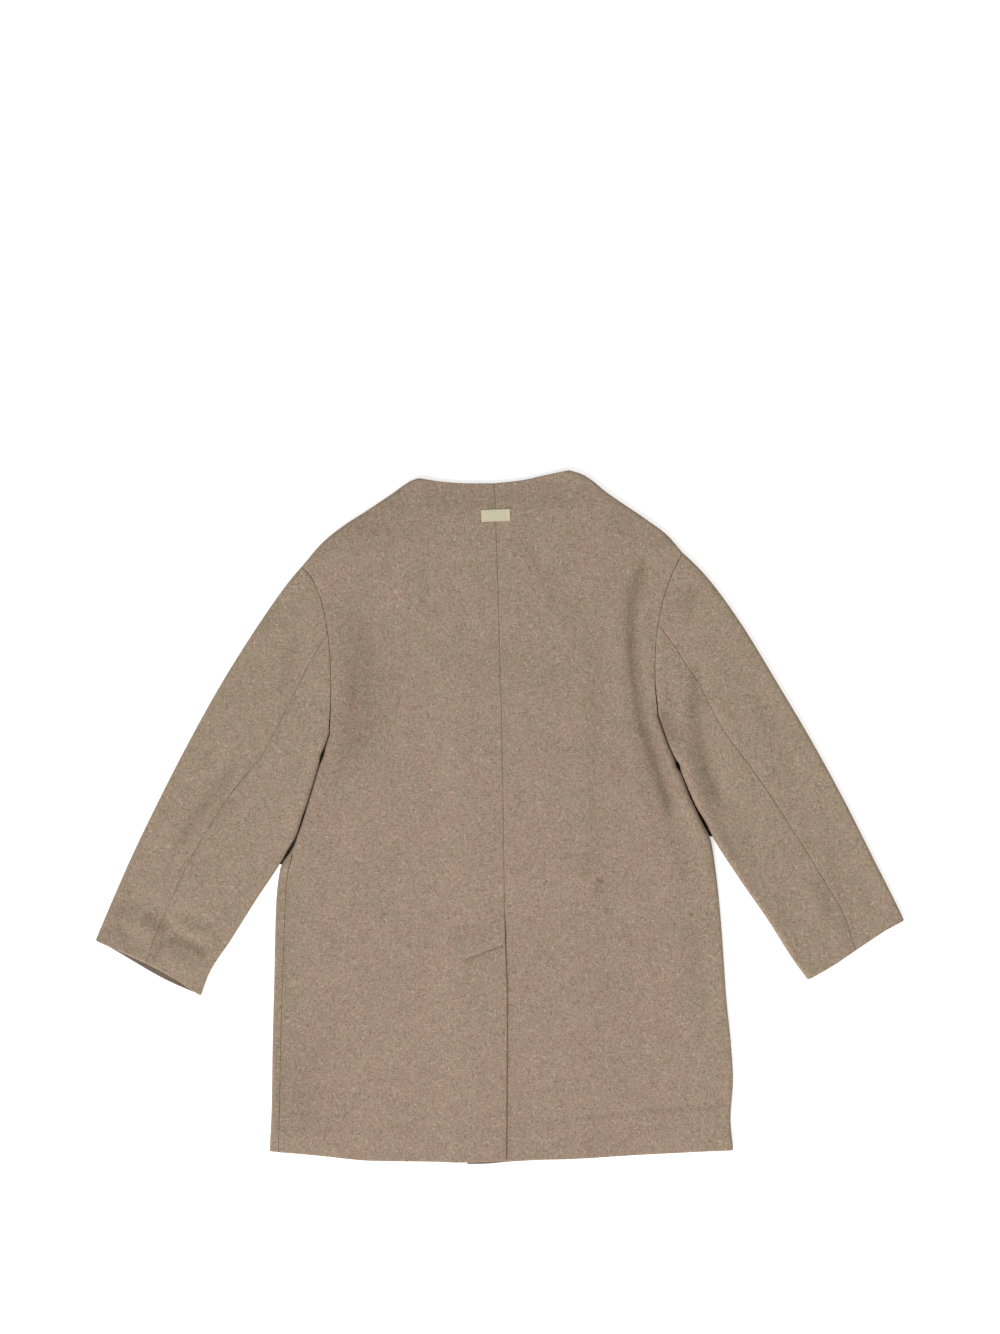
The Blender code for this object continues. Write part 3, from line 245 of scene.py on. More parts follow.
@dataclass(frozen=True)
class CoatHalf:
    """One half of the body, from v = 0 at the hem to v = 1 at the neck and shoulder.

    Its outline in plan, and how far each edge is a fold that rolls over.
    """

    sign: int
    side: Table
    armhole: Sequence[Point]
    neck: Sequence[Point]
    shoulder: Sequence[Point]
    partings: Table            # y, width and height up the coat of each

    @property
    def underarm_v(self) -> float:
        """Row just above the underarm, where the armhole starts."""
        return (self.side[-1][0] + 10.0 - HEM_Y) / (NECK_Y - HEM_Y)

    @property
    def neck_share(self) -> float:
        """Share of the top edge that the neck takes."""
        neck, shoulder = (np.hypot(*np.diff(np.asarray(line), axis=0).T).sum()
                          for line in (self.neck, self.shoulder))
        return neck / (neck + shoulder)

    def side_y(self, v: Array) -> Array:
        """Height up the coat of the side fold in row v."""
        bottom, top = self.side[0][0], self.side[-1][0]
        return bottom + (top - bottom) * np.clip(v / self.underarm_v, 0, 1)

    def outline(self, v: Array) -> Array:
        """Outline of the side, then of the armhole."""
        v = np.asarray(v, float)
        y = self.side_y(v)
        fold = np.stack([column(self.side, 1, y), y], axis=-1)
        up = np.clip((v - self.underarm_v) / (1 - self.underarm_v), 0, 1)
        return np.where((v > self.underarm_v)[..., None], cubic(self.armhole, up), fold)

    def roll(self, v: Array) -> Array:
        """Radius of the side's roll in row v."""
        return column(self.side, 2, self.side_y(v))

    def seam(self, v: Array) -> Array:
        """How far the side seam lies round the roll from the fold, on top."""
        return column(self.side, 3, self.side_y(v))

    def fold_weight(self, v: Array) -> Array:
        """1 where the side is a fold, easing to 0 just up the armhole seam."""
        start = self.outline(np.asarray(self.underarm_v))
        climb = np.linalg.norm(self.outline(v) - start, axis=-1)
        rise = np.sqrt(1 - (1 - np.clip(climb / 18.0, 0, 1)) ** 2)
        return np.where(v > self.underarm_v, 1 - rise, 1.0)

    def edge(self, v: Array) -> Array:
        """Mid-surface at the side: the outline moved in by half a wall."""
        inset = SEAM_GAP / 2 + (HALF + 0.3) * self.fold_weight(v) + self.parting(self.side_y(v))
        return self.outline(v) - outward(self.outline, v, self.sign) * inset[..., None]

    def parting(self, y: Array) -> Array:
        """How far the body and the sleeve each draw back where they part."""
        return sum(wide * bell((y - at) / tall) for at, wide, tall in self.partings)

    def back_top(self, u: Array) -> Array:
        """Neck and shoulder of the back, from the centre to the armhole."""
        u = np.asarray(u, float)
        neck = along(self.neck, np.clip(u / self.neck_share, 0, 1))
        down = np.clip((u - self.neck_share) / (1 - self.neck_share), 0, 1)
        line = np.where((u < self.neck_share)[..., None], neck, along(self.shoulder, down))
        return line - np.array([0.0, 1.0]) * (HALF * self.back_top_weight(u))[..., None]

    def back_top_weight(self, u: Array) -> Array:
        """0 along the cut neck, 1 along the folded shoulder."""
        return smooth(1 + (u - self.neck_share) / 0.06)

    def front_top(self, u: Array) -> Array:
        """Shoulder of the front, from the neck corner to the armhole."""
        return along(self.shoulder, u) - np.array([0.0, HALF])


@dataclass(frozen=True)
class SleeveTube:
    """A flattened sleeve: v from the armhole to the cuff, u from outer to inner fold.

    The bows give how far each cuff curves out along the sleeve: the part shaped
    like an S, then the plain part.
    """

    half: CoatHalf
    outer_rows: Table
    inner_rows: Table
    back_seam_rows: Sequence[Point]
    bow_on_top: Point
    bow_under: Point

    @staticmethod
    def outline(rows: Table) -> Curve:
        """Outline of a fold in plan."""
        return lambda v: along(rows, v)[..., :2]

    def outer(self, v: Array) -> Array:
        """Mid-surface at the outer fold."""
        line = self.outline(self.outer_rows)
        return line(v) - outward(line, v, -self.half.sign) * HALF

    def inner(self, v: Array) -> Array:
        """Mid-surface at the inner fold."""
        line = self.outline(self.inner_rows)
        inset = HALF + 0.5 + self.half.parting(line(v)[..., 1])
        return line(v) - outward(line, v, self.half.sign) * inset[..., None]

    def roll(self, v: Array, u: Array) -> Array:
        """Radius of the roll at the nearer fold."""
        rows = [along(table, v)[..., 2] for table in (self.outer_rows, self.inner_rows)]
        return np.where(u < 0.5, *rows)

    def armhole(self, u: Array) -> Array:
        """Armhole seam from the outer fold to the underarm."""
        return cubic(self.half.armhole, 1 - np.asarray(u, float))

    def cuff(self, u: Array, sheet: int) -> Array:
        """Cuff of the top (+1) or the underside (-1)."""
        wave, plain = self.bow_on_top if sheet > 0 else self.bow_under
        outer, inner = self.outer(np.ones_like(u)), self.inner(np.ones_like(u))
        chord = unit(inner - outer)
        down = np.stack([chord[..., 1], -chord[..., 0]], axis=-1) * -self.half.sign
        bow = -(wave * np.sin(2 * math.pi * u) + plain * np.sin(math.pi * u))
        return outer + (inner - outer) * u[..., None] + down * bow[..., None]

    def back_seam(self, v: Array) -> Array:
        """Share of the width at which the back seam lies."""
        return column(self.back_seam_rows, 1, v)

    def plan(self, u: Array, v: Array, sheet: int) -> Array:
        """Plan of grid place u, v on the top (+1) or the underside (-1)."""
        return patch(self.outer, self.inner, self.armhole, lambda s: self.cuff(s, sheet), u, v)

    def fold(self, inner: bool) -> tuple[Curve, int]:
        """The mid-surface at a fold, and the side of it that is outside."""
        return (self.inner, self.half.sign) if inner else (self.outer, -self.half.sign)

    def scale(self, v: Array, inner: bool) -> Array:
        """Share of u that a millimetre square to a fold takes, in section v."""
        end = np.ones_like(v) if inner else np.zeros_like(v)
        step = self.plan(end, v, 1) - self.plan(np.abs(end - 0.02), v, 1)
        edge, sign = self.fold(inner)
        return 0.02 / np.maximum(dot(step, outward(edge, v, sign)), 0.7)


def patch(start: Curve, end: Curve, low: Curve, high: Curve, u: Array, v: Array) -> Array:
    """Plan of a patch between its four edges.

    Args:
        start, end: edges at u = 0 and u = 1, as functions of v.
        low, high: edges at v = 0 and v = 1, as functions of u, which are drawn to
            the corners that the first two give.
        u, v: places on the patch.

    Returns:
        Points in plan.
    """
    zero, one = np.zeros_like(u), np.ones_like(u)
    a, b = u[..., None], v[..., None]
    near, far = (1 - a) ** 6, a ** 6
    bottom = low(u) + (start(zero) - low(zero)) * near + (end(zero) - low(one)) * far
    top = high(u) + (start(one) - high(zero)) * near + (end(one) - high(one)) * far
    ruled = start(v) * (1 - a) + end(v) * a
    corners = ((start(zero) * (1 - a) + end(zero) * a) * (1 - b)
               + (start(one) * (1 - a) + end(one) * a) * b)
    return ruled + bottom * (1 - b) + top * b - corners


LEFT = CoatHalf(-1, LEFT_SIDE, LEFT_ARMHOLE, LEFT_NECK, LEFT_SHOULDER,
                partings=((80.0, 1.5, 9.0), (-2.0, 0.6, 14.0), (-41.0, 1.8, 14.0)))
RIGHT = CoatHalf(1, RIGHT_SIDE, RIGHT_ARMHOLE, RIGHT_NECK, RIGHT_SHOULDER,
                 partings=((67.0, 2.1, 6.0), (32.0, 0.6, 14.0), (-7.0, 2.0, 17.0)))
LEFT_SLEEVE = SleeveTube(LEFT, LEFT_OUTER, LEFT_INNER, LEFT_BACK_SEAM,
                         bow_on_top=(-0.7, 3.8), bow_under=(1.0, -3.4))
RIGHT_SLEEVE = SleeveTube(RIGHT, RIGHT_OUTER, RIGHT_INNER, RIGHT_BACK_SEAM,
                          bow_on_top=(1.6, 0.0), bow_under=(1.0, -1.5))


@dataclass(frozen=True)
class Crease:
    """A trough or a ridge that one hand movement leaves in the cloth.

    Sizes are in millimetres. The taper is the share of its length over which each end
    fades. A sharp one comes to a line, a soft one is rounded.
    """

    points: Sequence[Point]
    half_width: float
    height: float
    taper: float = 0.25
    sharp: bool = False

    def relief(self, x: Array, y: Array) -> Array:
        """Height that the crease adds at each place."""
        share = np.linspace(0, 1, 160)
        line = along(self.points, share)
        total = np.zeros_like(x)
        margin = self.half_width * 3.2
        near = ((x > line[:, 0].min() - margin) & (x < line[:, 0].max() + margin)
                & (y > line[:, 1].min() - margin) & (y < line[:, 1].max() + margin))
        if not near.any():
            return total
        reach = np.hypot(x[near][:, None] - line[:, 0], y[near][:, None] - line[:, 1])
        place = share[reach.argmin(axis=1)]
        q = reach.min(axis=1) / self.half_width
        shape = np.exp(-q * 1.3) if self.sharp else np.exp(-q * q)
        fade = smooth(place / self.taper) * smooth((1 - place) / self.taper)
        total[near] = self.height * shape * fade
        return total


# Largest soft folds, which the solids have too: start, end, how far the middle bows
# to the left of the way from start to end, half width and height
SOFT_FOLDS = (
    (180.0, 322.0, 222.0, -40.0, -26.0, 15.0, -2.8),    # right back, by the armhole
    (192.0, 210.0, 246.0, 10.0, -4.0, 16.0, 2.6),       # ridge beside it
    (-213.0, 300.0, -176.0, 96.0, 6.0, 20.0, -1.6),     # left back, by the armhole
    (-140.0, 320.0, -118.0, 230.0, 4.0, 34.0, 1.4),     # left shoulder blade
    (236.0, 232.0, 310.0, -62.0, -14.0, 12.0, -2.4),    # right sleeve, inner half
    (-300.0, 100.0, -408.0, -70.0, 8.0, 15.0, -1.8),    # left sleeve, by its seam
    (-470.0, -96.0, -392.0, -186.0, 6.0, 16.0, -1.8),   # left cuff
    (424.0, -34.0, 452.0, -164.0, 4.0, 11.0, -1.5),     # right cuff
)
# Creases, as the fields of the class above in order
CREASES = [Crease(*row) for row in (
    # Right back: the long fold beside the armhole, its swell and the ridge it leaves
    (((187, 345), (182, 320), (173, 270), (174.5, 220), (180, 165), (187.5, 120)),
     6.5, -3.5, 0.18),
    (((178, 175), (188, 120), (198, 80), (209, 40), (219, 0), (228, -44)), 11.0, -2.2),
    (((171, 345), (159, 270), (157, 220), (162, 165), (168, 120), (178, 80), (190, 40),
      (200, 0), (207, -44)), 15.0, 1.6, 0.3),
    (((192, 210), (215, 110), (246, 10)), 16.0, -1.7, 0.2),
    # Right sleeve: the soft fold down its inner half, between two ridges
    (((246, 226), (259, 165), (265, 120), (267, 80), (281, 42), (293, 6)), 9.0, -2.4),
    (((240, 215), (246, 165), (251, 117), (260.7, 77), (272, 37), (285, -2), (304, -50)),
     12.0, 1.7),
    (((230, 200), (234, 140), (238, 90), (248, 50), (264, 8), (286, -40)), 7.0, 0.8),
    (((276, 200), (282, 140), (288, 96), (304, 44), (326, -10)), 15.0, 0.8),
    (((408, -60), (420, -96), (436, -130)), 8.0, -1.4),
    (((392, -76), (402, -110), (414, -144)), 9.0, 1.2),
    # Sleeve caps, which the seam allowances lift
    (((216, 320), (207, 262), (205.5, 215), (208, 160)), 4.5, 0.9),
    (((-231, 300), (-220.5, 240), (-220, 180), (-224, 128)), 4.5, 0.8),
    # Left back beside the armhole, and the left sleeve by its back seam
    (((-206, 300), (-196, 220), (-196, 150), (-204, 96)), 13.0, 1.8),
    (((-176, 290), (-166, 210), (-168, 140), (-178, 84)), 12.0, -1.2),
    (((-235, 130), (-240, 96), (-250, 56), (-262, 10), (-280, -34)), 6.0, 1.0),
    (((-343, 74), (-374, 36), (-396, 0), (-412, -40)), 10.0, -1.8),
    (((-366, 92), (-396, 44), (-420, 0), (-438, -46)), 14.0, 1.2),
    (((-300, 86), (-336, 34), (-366, -14), (-384, -52)), 12.0, 0.9),
    (((-256, 262), (-250, 226), (-262, 188)), 10.0, -0.8),
    # Left cuff, which is crumpled
    (((-434, -148), (-408, -160), (-372, -172)), 7.0, -2.6),
    (((-424, -126), (-396, -143), (-362, -152)), 9.0, 2.2),
    (((-424, -182), (-400, -186), (-380, -198)), 8.0, 1.0),
    (((-448, -116), (-430, -138), (-424, -172)), 7.0, -1.4),
    (((-492, -128), (-476, -152), (-464, -178)), 8.0, -1.3),
    (((-470, -126), (-452, -148), (-442, -180)), 8.0, 1.0),
    # Vent: the row of stitches that holds its underlap pulls the cloth in
    (((6, -162), (-16, -171.3), (-46, -182.6)), 3.0, -2.0, 0.05, True),
    # Fainter ones
    (((115, -67), (150, -118), (179, -170)), 8.0, -0.8),
    (((300, 214), (326, 160), (344, 120)), 13.0, -0.9),
    (((356, 92), (388, 40), (410, -8)), 12.0, -0.9),
    (((-150, -60), (-132, -160), (-142, -260)), 26.0, -0.7),
)]
# Soft patches of painted shade on the cloth's colour, in the same order: the height is the
# share of light that they take away, and a minus makes them a paler painted highlight
PAINTED_SHADE_PATCHES = [Crease(*row) for row in (
    # Right back: painted shade in its long fold, with a narrow core, on the cloth on both
    # sides of it and down the right side, and painted highlights beside it
    (((188, 345), (180, 318), (170, 272), (168.5, 220), (173.5, 165), (180, 120), (193, 80),
      (205, 42), (213, 16), (220, -12)), 7.5, 0.25, 0.1),
    (((170, 262), (167.5, 205), (171.5, 160), (176, 130), (184, 98)), 3.2, 0.10),
    (((180, 140), (190, 100), (204, 58), (215, 20), (222, -14)), 12.0, 0.10),
    (((218, 4), (227, -22), (238, -48), (243, -96)), 11.0, 0.08),
    (((184, 190), (189, 160), (195, 120), (206, 80), (218, 40), (230, 0), (240, -34)),
     9.0, 0.06),
    (((206, 262), (205.5, 220), (208, 184)), 5.0, -0.06),
    (((207, 142), (211, 124), (218, 104), (224, 88)), 6.0, 0.26),
    (((256, 8), (263, -20), (269, -44), (276, -84)), 8.0, 0.12),
    (((240, -70), (243, -120), (246, -180), (248, -240)), 13.0, 0.06),
    (((199, -20), (212, -120), (222, -250)), 11.0, -0.04),
    # Right sleeve: painted shade in its fold, painted highlights on the cloth on both sides
    # of it, and darker blotches
    (((245, 212), (247.5, 160), (250, 118), (255, 88), (264, 56), (276, 26), (287, 4)),
     8.0, 0.17, 0.15),
    (((212, 217), (230, 150), (238, 106), (250, 52), (268, 4)), 6.5, -0.04),
    (((288, 160), (296, 110), (302, 50), (328, -14)), 17.0, -0.04),
    (((226, 268), (238, 274), (250, 296)), 13.0, 0.13, 0.1),
    (((296, 242), (318, 200), (326, 160), (352, 104), (364, 62)), 11.0, 0.045),
    (((299, -8), (311, -26), (320, -42)), 9.0, 0.08),
    (((420, 6), (424, -50), (424, -110), (438, -146), (452, -166)), 12.0, 0.055),
    (((446, -88), (462, -97), (476, -108)), 11.0, 0.06),
    # Left back and sides: painted shade beside the armhole, down the side and towards the
    # hem, and a painted highlight on the shoulder blade
    (((-214, 300), (-198, 240), (-192, 180), (-192, 120), (-204, 60), (-222, 0)), 16.0, 0.08),
    (((-186, 300), (-172, 220), (-170, 140), (-186, 60)), 22.0, 0.11),
    (((-160, 260), (-150, 160), (-160, 40)), 45.0, 0.03),
    (((-280, -60), (-281, -160), (-283, -280), (-286, -420)), 11.0, 0.05, 0.1),
    (((-256, -260), (-252, -340), (-240, -430)), 30.0, 0.08),
    (((-250, -434), (-100, -442), (60, -442), (280, -434)), 38.0, 0.03),
    (((-150, 310), (-136, 282), (-128, 250)), 20.0, -0.045),
    # Shoulders and neck: painted shade, darker towards the neck and the shoulder edges
    (((-230, 346), (-180, 386), (-108, 428)), 22.0, 0.10, 0.1),
    (((-120, 420), (-40, 412), (40, 412), (106, 428)), 17.0, 0.085, 0.1),
    (((92, 430), (150, 392), (226, 344)), 20.0, 0.08, 0.1),
    (((-40, 374), (0, 366), (36, 372)), 9.0, 0.04),
    (((-200, 372), (-150, 366), (-80, 392)), 26.0, 0.06),
    # Left sleeve: painted shade in the soft line beside its back seam and in the crumpled
    # cuff, and painted highlights beside the armhole and above the cuff
    (((-322, 86), (-346, 58), (-366, 32), (-396, -8), (-424, -66)), 8.0, 0.14),
    (((-290, 98), (-320, 56), (-354, 12), (-382, -34)), 6.0, 0.07),
    (((-262, 242), (-273, 191), (-285, 150)), 9.0, 0.10),
    (((-224, 150), (-238, 104), (-254, 42), (-280, -26)), 10.0, -0.05, 0.15),
    (((-425, -153), (-411, -160), (-394, -166), (-374, -173)), 7.5, 0.26, 0.12),
    (((-443, -187), (-440, -173), (-433, -163), (-416, -158)), 6.0, 0.15, 0.15),
    (((-458, -122), (-448, -130), (-432, -142), (-426, -150)), 7.5, 0.20),
    (((-437, -138), (-431, -143), (-425, -148)), 6.5, 0.14),
    (((-466, -84), (-478, -116), (-492, -148), (-462, -168), (-430, -190)), 20.0, 0.075),
    (((-426, -104), (-404, -110), (-384, -124)), 14.0, -0.05),
    # Painted highlight on the edge of the left cuff, and painted shade along the lines that
    # the turned hem and the vent's stitches leave
    (((-494, -169), (-457.5, -185), (-426, -203), (-402, -220.5)), 2.0, -0.2, 0.15),
    (((13, -389), (90, -384), (200, -375), (294, -369)), 6.0, 0.035, 0.04),
    (((6, -163), (-14, -170.5), (-46, -182.5)), 1.5, 0.34, 0.05),
)]


def nearest(points: Array, x: Array, y: Array) -> tuple[Array, Array]:
    """Nearest of some points in plan.

    Args:
        points: rows whose first two columns are x and y.
        x, y: places to ask for.

    Returns:
        Distance to the nearest point and its index, for each place.
    """
    tree = kdtree.KDTree(len(points))
    for index, row in enumerate(points.tolist()):
        tree.insert((row[0], row[1], 0.0), index)
    tree.balance()
    found = [tree.find((a, b, 0.0)) for a, b in zip(x.ravel().tolist(), y.ravel().tolist())]
    reach = np.array([item[2] for item in found]).reshape(x.shape)
    return reach, np.array([item[1] for item in found]).reshape(x.shape)


def fold_lines() -> Array:
    """Every folded edge, as rows of x, y and roll radius."""
    rows = []
    for half in (LEFT, RIGHT):
        v = np.linspace(0, half.underarm_v, 140)
        rows.append(np.column_stack([half.edge(v), half.roll(v)]))
        u = np.linspace(0, 1, 50)
        rows.append(np.column_stack([half.front_top(u), np.full(50, SHOULDER_ROLL)]))
    for sleeve in (LEFT_SLEEVE, RIGHT_SLEEVE):
        v = np.linspace(0, 1, 130)
        for line, u in ((sleeve.outer, 0.0), (sleeve.inner, 1.0)):
            rows.append(np.column_stack([line(v), sleeve.roll(v, np.asarray(u))]))
    return np.concatenate(rows)


def seam_lines() -> Array:
    """Points along the pressed seams of the upper layer, and how deep each is."""
    rows = [np.column_stack([centre_back(np.linspace(0.325, 0.99, 320)), np.full(320, 0.15)])]
    for half in (LEFT, RIGHT):
        rows.append(np.column_stack([cubic(half.armhole, np.linspace(0.0, 1, 110)),
                                     np.ones(110)]))
    for sleeve in (LEFT_SLEEVE, RIGHT_SLEEVE):
        v = np.linspace(0, 1, 240)
        rows.append(np.column_stack([sleeve.plan(sleeve.back_seam(v), v, 1),
                                     0.05 + 0.45 * fading(v)]))
    return np.concatenate(rows)


def fading(v: Array) -> Array:
    """How plainly a sleeve's back seam shows: less and less towards the cuff."""
    return smooth((0.92 - v) / 0.4)


def centre_back(v: Array) -> Array:
    """Centre-back seam, and below it the left back's free vent edge."""
    return along(CENTRE_BACK, np.asarray(v, float))


def front_edge_x(y: Array, straight: float, corner: Point) -> Array:
    """X of a front's free edge: straight, then away along the V neck to its corner."""
    climb = np.clip((y - LAP_BREAK_Y) / (corner[1] - LAP_BREAK_Y), 0, 1)
    return straight + (corner[0] - straight) * climb ** 1.15


def left_front_edge(y: Array) -> Array:
    """X of the left front's free edge."""
    return front_edge_x(y, LAP_LEFT_EDGE, LEFT_SHOULDER[0])


def right_front_edge(y: Array) -> Array:
    """X of the right front's free edge."""
    return front_edge_x(y, LAP_RIGHT_EDGE, RIGHT_SHOULDER[0])


def lap_reach(y: Array) -> Array:
    """X up to which the right front is held up by the left front's slanted edge."""
    return left_front_edge(y - 34.0)


def button_swell(x: Array, y: Array) -> Array:
    """Lift of the cloth that rests on the four buttons."""
    coat = CoatButtons()
    left, right = min(coat.columns) - coat.radius, LAP_LEFT_EDGE + 6.0
    low, high = min(coat.rows) - coat.radius, max(coat.rows) + coat.radius
    across = smooth((x - left + 54.0) / 34.0) * smooth((right + 36.0 - x) / 36.0)
    up_back = smooth((y - low + 104.0) / 80.0) * smooth((high + 104.0 - y) / 80.0)
    return (coat.thickness + LAYER_GAP) * across * up_back


def left_front_height(x: Array, y: Array) -> Array:
    """Mid height of the left front, which lies on the surface."""
    return HALF + button_swell(x, y)


def right_front_height(x: Array, y: Array) -> Array:
    """Mid height of the right front, which steps up onto the left front."""
    step = smooth((lap_reach(y) + 15.5 - x) / 13.0)
    return HALF + (WALL + FRONT_GAP) * step + button_swell(x, y)


def sleeve_under_height(x: Array, y: Array) -> Array:
    """Mid height of the underside of a sleeve, flat on the surface."""
    return np.full_like(x, HALF)


def vent_lift(x: Array, y: Array) -> Array:
    """Extra height of the left back where it laps over the vent's underlap."""
    slope = (VENT_UNDERLAP[1] - VENT_TOP[1]) / (VENT_UNDERLAP[0] - VENT_TOP[0])
    top = VENT_TOP[1] + slope * (x - VENT_TOP[0])
    down = smooth((top + 52.0 - y) / 46.0)
    across = smooth((x - VENT_UNDERLAP[0] + 40.0) / 37.0)
    return (WALL + LAYER_GAP) * down * across


def soft_folds(x: Array, y: Array) -> Array:
    """Height that the largest soft folds add to the upper layer."""
    total = np.zeros_like(x)
    for x0, y0, x1, y1, bow, width, height in SOFT_FOLDS:
        length = math.hypot(x1 - x0, y1 - y0)
        tx, ty = (x1 - x0) / length, (y1 - y0) / length
        s = np.clip(((x - x0) * tx + (y - y0) * ty) / length, -0.3, 1.3)
        across = -(x - x0) * ty + (y - y0) * tx - bow * 4 * s * (1 - s)
        fade = smooth((s + 0.12) / 0.3) * smooth((1.12 - s) / 0.3)
        total += height * fade * bell(across / width)
    return total


class UpperLayer:
    """Mid heights of the upper layer of body and sleeves, kept on a raster.

    The same rule as the solids' own, with the creases, the pressed seams, the
    turned hems and the slight waviness of lying cloth laid over it.
    """

    low = (-532.0, -456.0)
    high = (532.0, 458.0)
    plateau = 6.6            # plain height, and how far the lapped fronts raise it
    lapped_rise = 2.8
    hem_turn_y = -399.0      # top of the hem's turn-up, which shows through
    hem_turn_step = 0.45
    cuff_turn = 0.905        # the same on a sleeve, as a share of its length
    cuff_turn_step = 0.35

    def __init__(self, spacing: float, seed: int = 11) -> None:
        """Works the raster out.

        Args:
            spacing: millimetres between its points.
            seed: seed of the waviness.
        """
        self.spacing = spacing
        counts = [int((b - a) / spacing) + 2 for a, b in zip(self.low, self.high)]
        x, y = np.meshgrid(*(start + spacing * np.arange(count)
                             for start, count in zip(self.low, counts)))
        lines = fold_lines()
        reach, index = nearest(lines, x, y)
        detail = self.turned_edges(x, y) + self.waviness(x.shape, seed)
        for crease in CREASES:
            detail = detail + crease.relief(x, y)
        values = self.base(x, y, reach, lines[index, 2]) + detail * (1 - bell(reach / 9.0))
        seams = seam_lines()
        to_seam, index = nearest(seams, x, y)
        pressed = bell(to_seam / 4.0) * -0.6
        pressed += bell((to_seam - ALLOWANCE) / 4.5) * 0.22
        pressed *= seams[index, 2] * (1 - bell(reach / 6.0))
        floor = self.floor(x, y)
        self.values = floor + np.logaddexp(0, (values + pressed - floor) * 2.5) / 2.5

    def base(self, x: Array, y: Array, reach: Array, roll: Array) -> Array:
        """Height of the plain layer: its plateau over the fronts, its fall to the
        neck and the hem, its rolls at the folds and its largest soft folds."""
        from_left, from_right = x - right_front_edge(y), lap_reach(y) - x
        lapped = smooth((from_left + 60.0) / 56.0) * smooth((from_right + 64.0) / 56.0)
        base = self.plateau + self.lapped_rise * lapped + button_swell(x, y)
        base = base - 3.4 * smooth((y - 388.0) / 44.0) * smooth((112.0 - np.abs(x)) / 34.0)
        base = base - 1.2 * smooth((-400.0 - y) / 40.0) * (1 - lapped)
        folds = soft_folds(x, y) * (1 - bell(reach / 9.0))
        return base + (HALF + 2 * roll - base) * bell(reach / 20.0) + folds

    def floor(self, x: Array, y: Array) -> Array:
        """Lowest mid height that stays clear of the fronts and the undersides."""
        from_left, from_right = x - right_front_edge(y), lap_reach(y) - x
        step = smooth((from_left + 18.0) / 14.0) * smooth((from_right + 18.0) / 14.0)
        return HALF + WALL + LAYER_GAP + 0.2 + (WALL + FRONT_GAP) * step + button_swell(x, y)

    def turned_edges(self, x: Array, y: Array) -> Array:
        """Hem and cuffs, where the turned-up cloth makes the layer thicker."""
        line = self.hem_turn_y + 0.1 * np.maximum(x, 0.0)
        strength = np.where(x > 8.0, 1.0, 0.55)
        hem = smooth((line + 5.0 - y) / 9.0) * self.hem_turn_step * strength
        hem = hem - 0.35 * strength * bell((y - line - 6.0) / 4.0)
        total = hem * (np.abs(x) < 300)
        for sleeve in (LEFT_SLEEVE, RIGHT_SLEEVE):
            a, b = (sleeve.plan(np.asarray(0.5), np.asarray(v), 1) for v in (self.cuff_turn, 0.99))
            down = unit(b - a)
            past = (x - a[0]) * down[0] + (y - a[1]) * down[1]
            side = x * sleeve.half.sign > 296
            total = total + smooth(past / 8.0 + 0.5) * self.cuff_turn_step * side
        return total

    def waviness(self, shape: tuple[int, ...], seed: int) -> Array:
        """Slight unevenness of thick cloth that was smoothed by hand."""
        rng = np.random.default_rng(seed)
        fy, fx = np.fft.fftfreq(shape[0])[:, None], np.fft.rfftfreq(shape[1])[None, :]
        total = np.zeros(shape)
        for span, height in ((42.0, 0.26), (15.0, 0.08)):
            sigma = span / 2 / self.spacing
            keep = np.exp(-2 * (math.pi * sigma) ** 2 * (fx ** 2 + fy ** 2))
            soft = np.fft.irfft2(np.fft.rfft2(rng.standard_normal(shape)) * keep, s=shape)
            total += height * soft / soft.std()
        return total

    def __call__(self, x: Array, y: Array) -> Array:
        """Mid height at each place, read between the raster's points."""
        fx = np.clip((x - self.low[0]) / self.spacing, 0, self.values.shape[1] - 1.001)
        fy = np.clip((y - self.low[1]) / self.spacing, 0, self.values.shape[0] - 1.001)
        i, j = fy.astype(int), fx.astype(int)
        a, b = fx - j, fy - i
        z = self.values
        return ((z[i, j] * (1 - a) + z[i, j + 1] * a) * (1 - b)
                + (z[i + 1, j] * (1 - a) + z[i + 1, j + 1] * a) * b)

    def left_back(self, x: Array, y: Array) -> Array:
        """Mid height of the left back, which laps over the vent's underlap."""
        return self(x, y) + vent_lift(x, y)


def lie(x: Array, y: Array, height: Height, sheet: int, equator: Array, keep: Array,
        side_normal: Array) -> tuple[Array, Array]:
    """Mid-surface points of a layer and their outward normals.

    Args:
        x, y: places in plan.
        height: the layer's own mid height.
        sheet: +1 for a layer that faces up, -1 for one that faces down.
        equator: height of the middle of the nearest fold.
        keep: how much of the layer's height is left, 1 inside and 0 at the fold.
        side_normal: normal in plan, scaled by how steeply the cloth rolls.

    Returns:
        Points and normals, in millimetres.
    """
    z = height(x, y)
    slope_x = height(x + 0.5, y) - height(x - 0.5, y)
    slope_y = height(x, y + 0.5) - height(x, y - 0.5)
    up = unit(np.stack([-slope_x, -slope_y, np.ones_like(x)], axis=-1)) * sheet
    rest = equator + sheet * SEAM_GAP / 2
    mid = np.stack([x, y, rest + (z - rest) * keep], axis=-1)
    plan = np.concatenate([side_normal, np.zeros_like(x)[..., None]], axis=-1)
    return mid, unit(up * keep[..., None] + plan)


def rim_share(reach: Array, radius: float = HALF) -> Array:
    """Share of the thickness that is left at a distance from a rounded free edge."""
    return np.sqrt(1 - (1 - np.clip(np.abs(reach) / radius, 0, 1)) ** 2)


def spread(start: float, end: float, spacing: float) -> Array:
    """Even places from start to end, without the first, about spacing apart."""
    count = max(3, int(round(abs(end - start) / spacing)))
    return np.linspace(start, end, count + 1)[1:]


